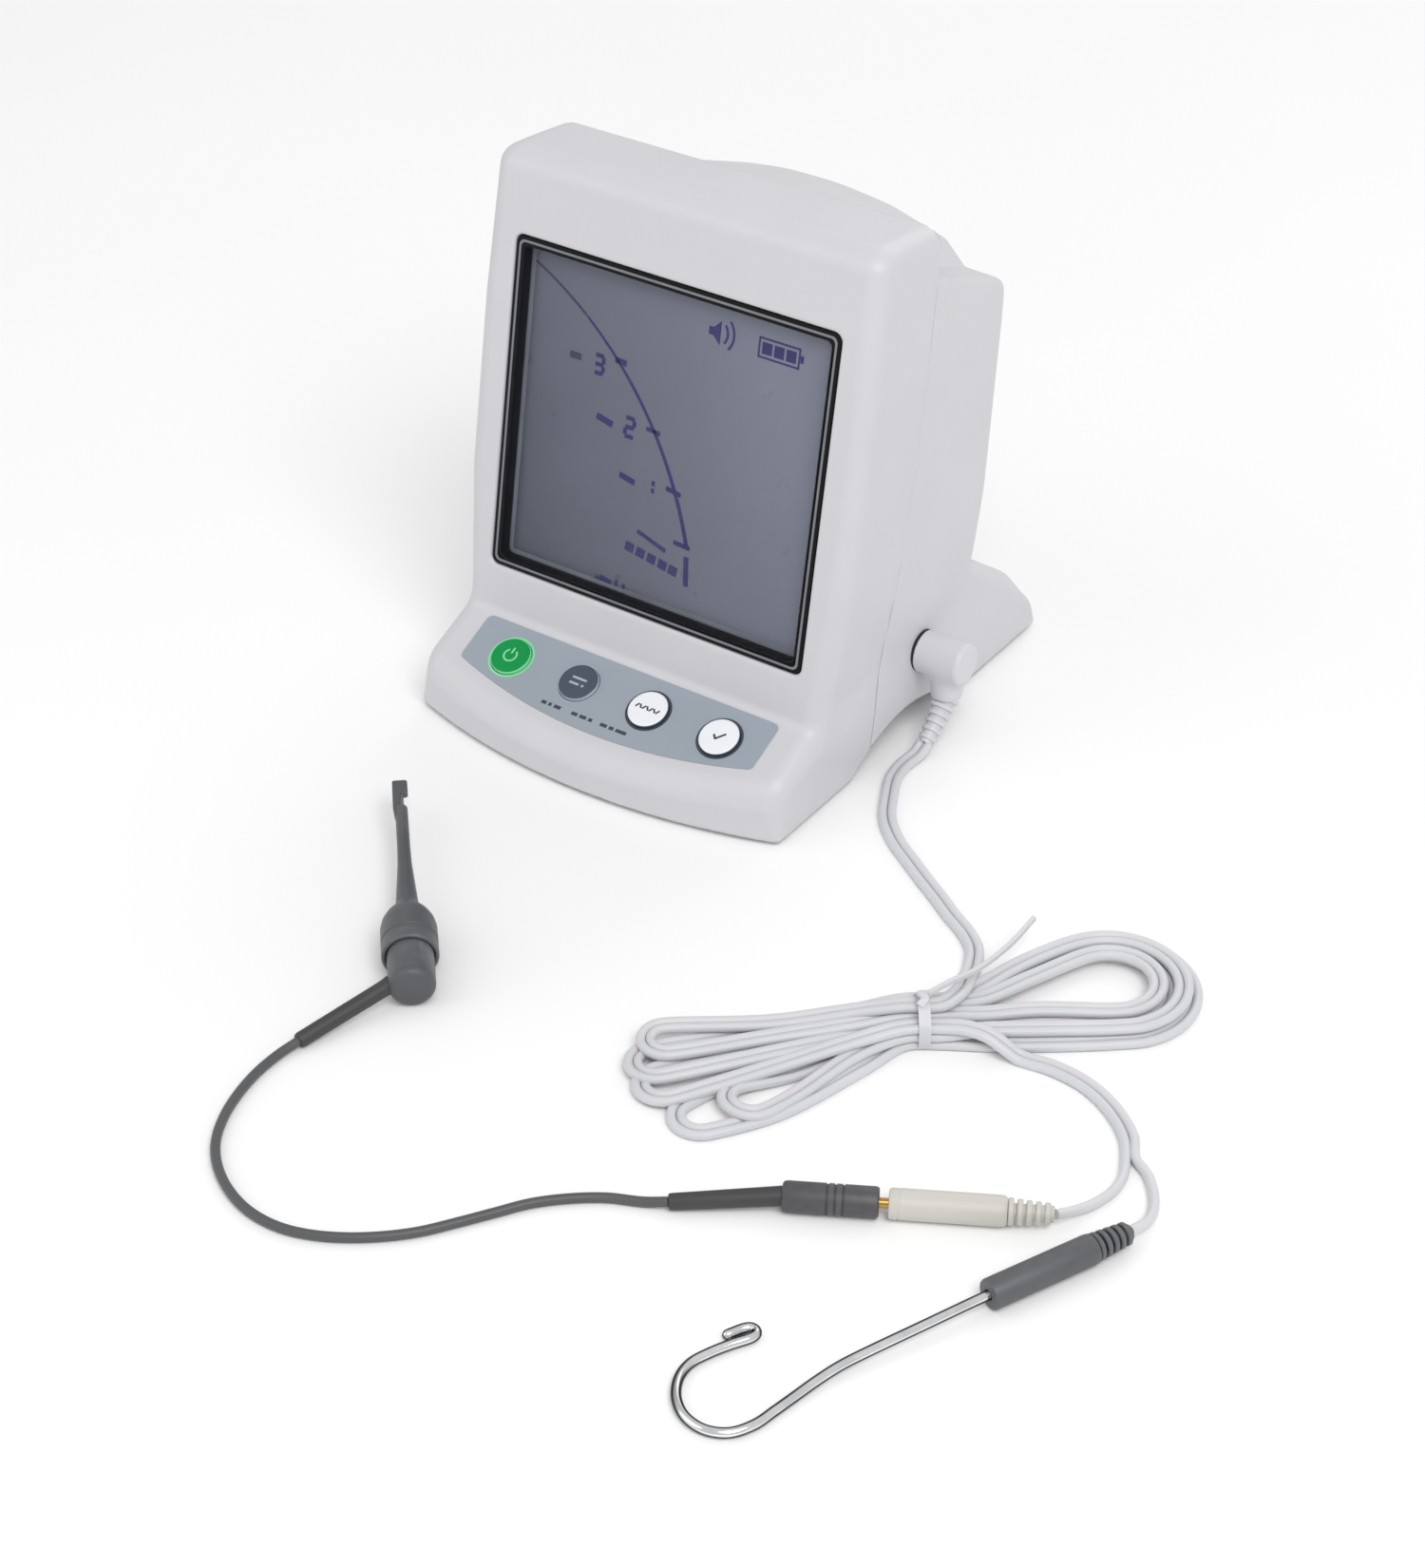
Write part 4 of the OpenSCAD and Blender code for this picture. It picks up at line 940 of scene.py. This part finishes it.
# Ground edge of the panel's glass, a little paler than its face
glass_edge = border(2 * BORDER + 0.5, 1.2, 2 * BORDER + 2.3, 0.6)
new_object("glass_edge", slab(glass_edge, FACE, PANEL_TOP + 0.01, PANEL_TOP + 0.06), GLASS_EDGE, "unit")


# ---- keypad ----

LABEL_HALF_W, LABEL_T, LABEL_ARC_R = 39.6, 0.3, 139.5
CAP_TOP = LABEL_T + 0.9


def label_low(x):
    """Where the label's curved lower edge is on the deck."""
    return (FRONT_ARC_Y - math.sqrt(LABEL_ARC_R ** 2 - x * x) - DECK.origin[1]) / math.cos(DECK_SLOPE)


lower_edge = [(x, label_low(x), 0) for x in np.linspace(-36, 36, 25)]
label_line = rounded_outline([
    (-LABEL_HALF_W, -0.1, 1.6), (-LABEL_HALF_W, label_low(LABEL_HALF_W), 1.2), *lower_edge,
    (LABEL_HALF_W, label_low(LABEL_HALF_W), 1.2), (LABEL_HALF_W, -0.1, 1.6)], 5)
key_holes = [circle_outline(KEY_HOLE_R, x, KEY_V) for x in KEY_X]
new_object("keypad_film", slab([label_line, *key_holes], DECK, 0.0, LABEL_T, 0.07, 1), LABEL, "unit",
           ["keypad_label"])


def add_key(x, name, cap, ring, ring_width):
    """A cap, the printed ring round it, and the band that takes the ring's colour up to its top edge; on
    the white keys the dark ring and band also stand for painted shadow in the gap round the cap.
    """
    profile = [(-3.2, 5.35), (-2.45, 5.35), (-2.4, KEY_R), (CAP_TOP - 0.32, KEY_R),
               (CAP_TOP - 0.14, KEY_R - 0.06), (CAP_TOP - 0.03, KEY_R - 0.2), (CAP_TOP, KEY_R - 0.5),
               (CAP_TOP, KEY_R * 0.6), (CAP_TOP, 0.01)]
    body, middle = name + "_key", DECK.at(x, KEY_V)
    new_object("cap_" + name, turned(profile, middle, DECK.out, 72, 40), cap, body, ["key_" + name])
    edges = [circle_outline(KEY_HOLE_R + 0.08 + w, x, KEY_V, 80) for w in (ring_width, 0)]
    new_object(f"cap_{name}_ring", slab(edges, DECK, LABEL_T, LABEL_T + 0.04), ring, "unit")
    # On the white keys this band is dark: print together with painted shadow in the gap between cap and
    # hole
    band_r = KEY_R + 0.12
    collar = [(-0.6, KEY_R - 0.1), (-0.6, band_r), (CAP_TOP - 0.3, band_r), (CAP_TOP - 0.2, KEY_R - 0.02),
              (CAP_TOP - 0.24, KEY_R - 0.1)]
    new_object(f"cap_{name}_collar", turned(collar, middle, DECK.out, 72, 30), ring, body)


POWER_SIGN = [stroke(arc_points(0, 0, 1.55, 125, 415, 30), 0.42), bar(0, 0.5, 0, 2.1, 0.42)]
MODE_BARS = [bar(a, b, c, b, 0.55) for a, b, c in
             ((-1.9, 0.75, 1.9), (-1.9, -0.75, 0.6), (1.3, -0.75, 1.9))]
SELECT_WAVE = [bar(0.9 * k - 0.3, 0.5 * (-1) ** k, 0.9 * k + 0.3, -0.5 * (-1) ** k, 0.42)
               for k in range(-3, 4)]
SET_TICK = [bar(-1.3, 0.1, -0.4, -0.9, 0.5), bar(-0.5, -0.9, 1.3, 1.1, 0.5)]
# Name, slot, finish of the cap, colour and width of its ring, and the mark on it
KEYS = [("power", "key_green", GREEN, GREEN_PALE, 0.55, POWER_SIGN),
        ("mode", "key_slate", SLATE, SLATE_PALE, 0.22, MODE_BARS),
        # The white keys' dark ring and collar are print and painted shadow of the gap round the cap
        ("select", "key_white", KEY_WHITE, INK_AND_GAP_SHADE, 0.42, SELECT_WAVE),
        ("set", "key_white", KEY_WHITE, INK_AND_GAP_SHADE, 0.42, SET_TICK)]
for x, (name, slot, cap, colour, ring_width, _) in zip(KEY_X, KEYS):
    add_key(x, name, cap, colour, ring_width)
for x, (name, slot, _, colour, _, mark) in zip(KEY_X, KEYS):
    outlines = [outline + (x, KEY_V) for outline in mark]
    printed(name + "_mark", outlines, DECK, CAP_TOP, colour, name + "_key")

DASHES = [(-14.4, -13.1), (-12.5, -11.7), (-11.0, -9.2), (-6.2, -4.6), (-4.0, -2.2), (-1.6, -0.6),
          (1.6, 3.4), (4.0, 5.2), (5.8, 8.6)]
printed("label_marks", [bar(a, -15.7, b, -15.7, 0.85) for a, b in DASHES], DECK, LABEL_T, INK_AND_GAP_SHADE)


# ---- battery door ----

HINGE_V, HINGE_R = -27.2, 1.8
RIB_W, RIB_PITCH = 18.0, 1.8
door_panel = slab([rectangle(DOOR_W, DOOR_H - HINGE_R, 1.4, 0, HINGE_R / 2)], REAR, -2.0, 0.0, 0.5, 3)
knuckle = turned([(0, HINGE_R), (DOOR_W, HINGE_R)], REAR.at(-DOOR_W / 2, HINGE_V, -HINGE_R), REAR.across)
rib_places = [DOOR_H / 2 - 12 + RIB_PITCH * k for k in range(5)]
door_ribs = [slab([rectangle(RIB_W, 0.7, 0.3, 0, v + 0.35, 4)], REAR, -0.2, 0.4, 0.2) for v in rib_places]
new_object("door", join_meshes([door_panel, knuckle, *door_ribs]), ABS_REAR, "door",
           ["battery_door"])


# ---- lead plug ----

RING_OUT, RING_R = 49.0, 4.85
nut = [(48.2, 3.95), (RING_OUT - 0.1, 3.95), (RING_OUT, 4.05), (RING_OUT, RING_R - 0.1),
       (RING_OUT - 0.1, RING_R), (48.2, RING_R), (48.2, 3.95)]
new_object("nut", turned(nut, (0, JACK[1], JACK[2]), (1, 0, 0), 64, 30), BLACK, "unit",
           ["jack_nut"])


def swept(path, radii, sides=32, up=(0, 0, 1), angle=40):
    """A tube along a path, its radius given at each point, closed at both ends."""
    path = np.asarray(path, float)
    points = []
    for p, d, r in zip(path, np.gradient(path, axis=0), radii):
        d, side, above = frame_along(d, up)
        points += [p + (side * math.cos(t) + above * math.sin(t)) * r
                   for t in np.linspace(0, math.tau, sides, False)]
    return mesh_from(points, tube_faces(len(path), sides), angle)


def blend_fields(a, b, r):
    """Union of two fields with a fillet."""
    h = np.clip(0.5 + 0.5 * (b - a) / r, 0, 1)
    return b + (a - b) * h - r * h * (1 - h)


HEAD_START, HEAD_END, HEAD_R = RING_OUT + 0.1, 60.6, 4.9
LEG_X, LEG_TOP, LEG_END = 55.6, 19.4, 10.9


def plug_field(x, y, z):
    """The L-shaped plug: a round head on the jack's axis and a leg down to the strain relief."""
    head = meet(np.hypot(y - JACK[1], z - JACK[2]) - HEAD_R, x - HEAD_END, 1.4)
    head = meet(head, HEAD_START - x, 0.35)
    t = np.clip((LEG_TOP - z) / (LEG_TOP - LEG_END), 0, 1)
    leg = np.hypot(x - LEG_X, y - (7.0 - 0.3 * t)) - (4.1 - 0.55 * t)
    leg = meet(leg, np.maximum(LEG_END - z, z - LEG_TOP - 0.4), 0.7)
    return blend_fields(head, leg, 2.2)


corners = np.array([FACE.local(x, y, z) for x in (48.8, 62) for y in (1.5, 12.5) for z in (9.5, 26.5)])
new_object("plug_body", net_mesh(plug_field, corners.min(0), corners.max(0), 0.45), PLUG_WHITE, "lead",
           ["lead_plug_body"])

# The relief bows a little towards the unit; six ribs on a tapering core
RELIEF_TOP, RELIEF_END = np.array([55.8, 6.6, 10.6]), np.array([55.8, -2.2, 2.9])
RELIEF_BOW, RELIEF_RIBS = np.array([0, -0.3, 0.24]), 6
relief_path, relief_radii = [], []
for t in np.linspace(0, 1, 97):
    relief_path.append(RELIEF_TOP + (RELIEF_END - RELIEF_TOP) * t - RELIEF_BOW * math.sin(math.pi * t))
    on_rib = 0.08 < (t * RELIEF_RIBS) % 1.0 < 0.62 and t < 0.97
    relief_radii.append(2.5 - 1.05 * t + (0.62 * (1 - 0.35 * t) if on_rib else 0))
new_object("plug_relief", swept(relief_path, relief_radii, 36, (1, 0, 0), 35), PLUG_WHITE, "lead",
           ["lead_plug_relief"])


# ---- connectors ----

def level(degrees):
    """Direction in the table's plane."""
    return np.array([*sin_cos(math.radians(degrees))[::-1], 0])


CONN, CONN_DIR, PLUG_L = np.array([130.0, -134.8, 3.0]), level(29), 19.8
HANDLE, HANDLE_DIR, HANDLE_L = np.array([157.6, -145.2, 3.0]), level(66.2), 23.6


def ribbed(start, pitch, width, radius, core, count, shrink=0.12):
    """Profile of a ribbed tail: rings on a core."""
    made = []
    for k in range(count):
        s, r = start + pitch * k, radius - shrink * k
        made += [(s, core), (s + 0.02, r - 0.2), (s + 0.22, r), (s + width - 0.2, r), (s + width, r - 0.2),
                 (s + width + 0.02, core)]
    return made + [(start + pitch * count, core), (start + pitch * count + 0.15, 1.12)]


socket = [(9.4, 0.01), (9.4, 1.12), (0.0, 1.12), (0.0, 2.55), (0.12, 2.8), (0.45, 2.97), (1.6, 3.0),
          (1.75, 2.9), (2.0, 2.9), (2.15, 3.0), (20.6, 3.0), (21.4, 2.92), (21.9, 2.6)]
socket += ribbed(22.0, 1.7, 1.1, 2.6, 1.6, 5)
new_object("socket_body", turned(socket, CONN, CONN_DIR, 56, 32), IVORY, "lead",
           ["clip_socket", "clip_socket_relief"])

plug = [(-1.8, 0.01), (-1.8, 1.0), (-1.8, 2.6), (-2.0, 2.88), (-2.4, 3.0)]
for s in (-8.2, -9.7, -11.2):
    plug += [(s, 3.0), (s - 0.05, 2.8), (s - 0.4, 2.8), (s - 0.45, 3.0)]
plug += [(-18.9, 3.0), (-19.5, 2.85), (-PLUG_L, 2.5), (-PLUG_L, 0.01)]
new_object("plug_grey", turned(plug[::-1], CONN, CONN_DIR, 56, 32), GREY_PLUG, "clip_lead",
           ["clip_plug"])

PLUG_END = CONN - PLUG_L * CONN_DIR
sleeve_run = np.array(CLIP_ROUTE[0]) - PLUG_END
sleeve_l = float(np.linalg.norm(sleeve_run))
sleeve = [(-0.6, 0.01), (-0.6, 1.95), (0.6, 1.92), (sleeve_l - 0.5, 1.62), (sleeve_l - 0.1, 1.5),
          (sleeve_l, 1.2), (sleeve_l, 0.01)]
new_object("plug_sleeve", turned(sleeve, PLUG_END, sleeve_run, 40, 30), GREY_DARK, "clip_lead",
           ["clip_plug_sleeve"])

handle = [(11.9, 0.01), (11.9, 1.1), (0.0, 1.1), (0.0, 2.5), (0.15, 2.82), (0.5, 3.0), (22.3, 3.0),
          (23.2, 2.9), (23.5, 2.55), *ribbed(HANDLE_L, 1.6, 1.05, 2.75, 1.6, 5)]
new_object("handle_body", turned(handle, HANDLE, HANDLE_DIR, 56, 32), GREY, "lead",
           ["hook_handle", "hook_handle_relief"])


# ---- lip hook ----

HOOK_ROUTE = [ (157.2, -146.1, 3), (151, -160, 2.5), (147.5, -167.8, 2.2), (144.8, -174, 1.8),
              (143.2, -179, 1.4), (142, -184, 1.1), (141, -189, 1.1), (139.9, -193.8, 1.1),
              (137.4, -197.8, 1.1), (133.5, -199.6, 1.1), (129, -199, 1.1), (125.2, -196.2, 1.1),
              (122.8, -192, 1.1), (122.4, -188, 1.1), (123.8, -183.8, 1.1), (125.7, -180, 1.1),
              (127.7, -176.6, 1.1), (127.9, -175.4, 1.1), (127.2, -174.6, 1.1), (126.2, -174.6, 1.1),
              (125.4, -175.3, 1.1), (123.4, -179.2, 1.1)]
rod_in = [tuple(HANDLE + HANDLE_DIR * s) for s in (11.4, 6.0)]
hook_points = smooth_line([*rod_in, *HOOK_ROUTE], 0.5)
from_end = np.minimum(np.arange(len(hook_points)), np.arange(len(hook_points))[::-1]) * 0.5
hook_radii = 1.0 - 0.45 * np.clip(1 - from_end / 0.8, 0, 1) ** 2
new_object("hook_wire", swept(hook_points, hook_radii, 28), STEEL, "hook", ["lip_hook"])


# ---- file clip ----

CLIP, CLIP_YAW, CLIP_PITCH = np.array([19.2, -137.8, 4.95]), 131.2, math.radians(2.8)
CLIP_DIR = level(CLIP_YAW) * math.cos(CLIP_PITCH) + np.array([0, 0, math.sin(CLIP_PITCH)])
BARREL_RIM, STEM_END, TIP = 10.0, 59.0, 68.0

plunger = [(0, 1.6), *rounded_profile([(0, 4.85, 1.6), (2.4, 4.85, 0), (14.0, 4.85, 0)], 6), (14.0, 0.01)]
new_object("plunger", turned(plunger, CLIP, CLIP_DIR, 64, 30), GREY, "clip_lead",
           ["clip_plunger"])

barrel = [(19.4, 0.9), (19.4, 5.0), (10.6, 5.0), (10.15, 5.1), (BARREL_RIM, 5.35), (10.05, 5.7),
          (10.35, 5.9), (13.6, 5.9), (13.75, 5.78), (14.1, 5.78), (14.25, 5.9), (18.6, 5.86),
          (20.4, 5.5), (22.2, 4.7), (24.0, 3.6), (25.4, 2.75), (27.0, 2.35), (33.0, 1.95), (40.0, 1.5),
          (46.0, 1.38), (STEM_END - 0.3, 1.35), (STEM_END, 1.1), (STEM_END, 0.9)]
new_object("barrel", turned(barrel, CLIP, CLIP_DIR, 64, 30), GREY, "clip_shell",
           ["clip_barrel"])

# A coil spring between plunger and barrel
SPRING_START, SPRING_END, SPRING_TURNS, SPRING_R = 14.3, 18.9, 4, 3.9
_, clip_across, clip_above = frame_along(CLIP_DIR)
coil = []
for turn in np.linspace(0, SPRING_TURNS, SPRING_TURNS * 20 + 1):
    sn, cs = sin_cos(math.tau * turn)
    reach = SPRING_START + (SPRING_END - SPRING_START) * turn / SPRING_TURNS
    coil.append(CLIP + CLIP_DIR * reach + (clip_across * cs + clip_above * sn) * SPRING_R)
spring = new_object("spring", swept(coil, np.full(len(coil), 0.25), 10, CLIP_DIR), STEEL, "clip_lead",
                    ["clip_spring"])
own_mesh(spring)

clip_side = Place(CLIP, CLIP_DIR, np.cross((0, 0, 1), CLIP_DIR))
jaw_line = rounded_outline([
    (STEM_END - 4.5, 0.3, 0.2), (STEM_END - 3.2, 1.5, 0.8), (STEM_END + 0.4, 1.8, 0.6), (TIP, 1.7, 0.5),
    (TIP, -1.6, 0.6), (TIP - 4.4, -1.6, 0.5), (TIP - 4.6, -0.1, 0.5), (STEM_END + 0.3, 0.2, 0.2)], 4)
jaw_head = slab([jaw_line], clip_side, -0.85, 0.85, 0.3, 3)
jaw_shank = turned([(BARREL_RIM, 0.6), (TIP - 3, 0.6)], CLIP, CLIP_DIR, 20)
new_object("jaw", join_meshes([jaw_head, jaw_shank]), GREY, "clip_lead", ["clip_jaw"])

ENTRY_END = np.array([13.9, -139.2, 4.4])
entry_run = ENTRY_END - np.array(CLIP_ROUTE[-1])
entry_l = float(np.linalg.norm(entry_run))
entry = [(-0.2, 0.01), (-0.2, 1.35), (0.1, 1.55), (0.6, 1.62), (entry_l - 1.0, 1.72),
         (entry_l + 0.8, 1.9), (entry_l + 0.8, 0.01)]
new_object("clip_entry", turned(entry, CLIP_ROUTE[-1], entry_run, 36, 30), GREY_DARK, "clip_lead",
           ["clip_sleeve"])


# ---- tie ----

STRAP_SECTION = ((-1, -0.5), (-0.8, 0.5), (0.0, 0.62), (0.8, 0.5), (1, -0.5), (0.0, -0.5))


def strap(path, step, width, thickness, lean=(1.0, 0.0)):
    """A flat strap along a path in the hank's frame: wide along lean, thin across."""
    path = smooth_line(path, step)
    side = np.array([*lean, 0.0])
    points = []
    for p, d in zip(path, np.gradient(path, axis=0)):
        d = d / np.linalg.norm(d)
        out = np.cross(side, d)
        out /= max(np.linalg.norm(out), 1e-6)
        points += [p + np.cross(d, out) * a * width / 2 + out * b * thickness for a, b in STRAP_SECTION]
    return mesh_from(from_hank(points), tube_faces(len(path), len(STRAP_SECTION)), 50)


# The strap goes round the waist; its ends are twisted together on top
loop = rounded_outline([(-5.9, 0.25, 2.4), (6.0, 0.25, 2.4), (6.2, 4.6, 3.0), (1.4, 8.75, 4.0),
                        (-2.4, 8.75, 3.5), (-6.3, 5.6, 3.0)], 8)
hoop = strap([(0.0, y, z) for y, z in [*loop, loop[0]]], 0.4, 2.4, 0.7)
knot = strap([(-0.9, -2.4, 8.9), (0.3, -1.2, 9.9), (-0.5, 0.2, 10.1), (0.9, 1.5, 9.3)], 0.3, 1.8, 0.6)
# The loose end lies over the right lobe and stands off it a little
tail = strap([(0.8, 0.8, 9.2), (5.5, 4.2, 9.4), (11.5, 10.2, 7.6), (16.5, 16.3, 6.4), (21.0, 22.4, 5.8),
              (25.5, 28.5, 6.4)], 0.5, 1.1, 0.8, (0.7, -0.7))
new_object("tie", join_meshes([hoop, knot, tail]), PVC, "lead", ["lead_tie"])
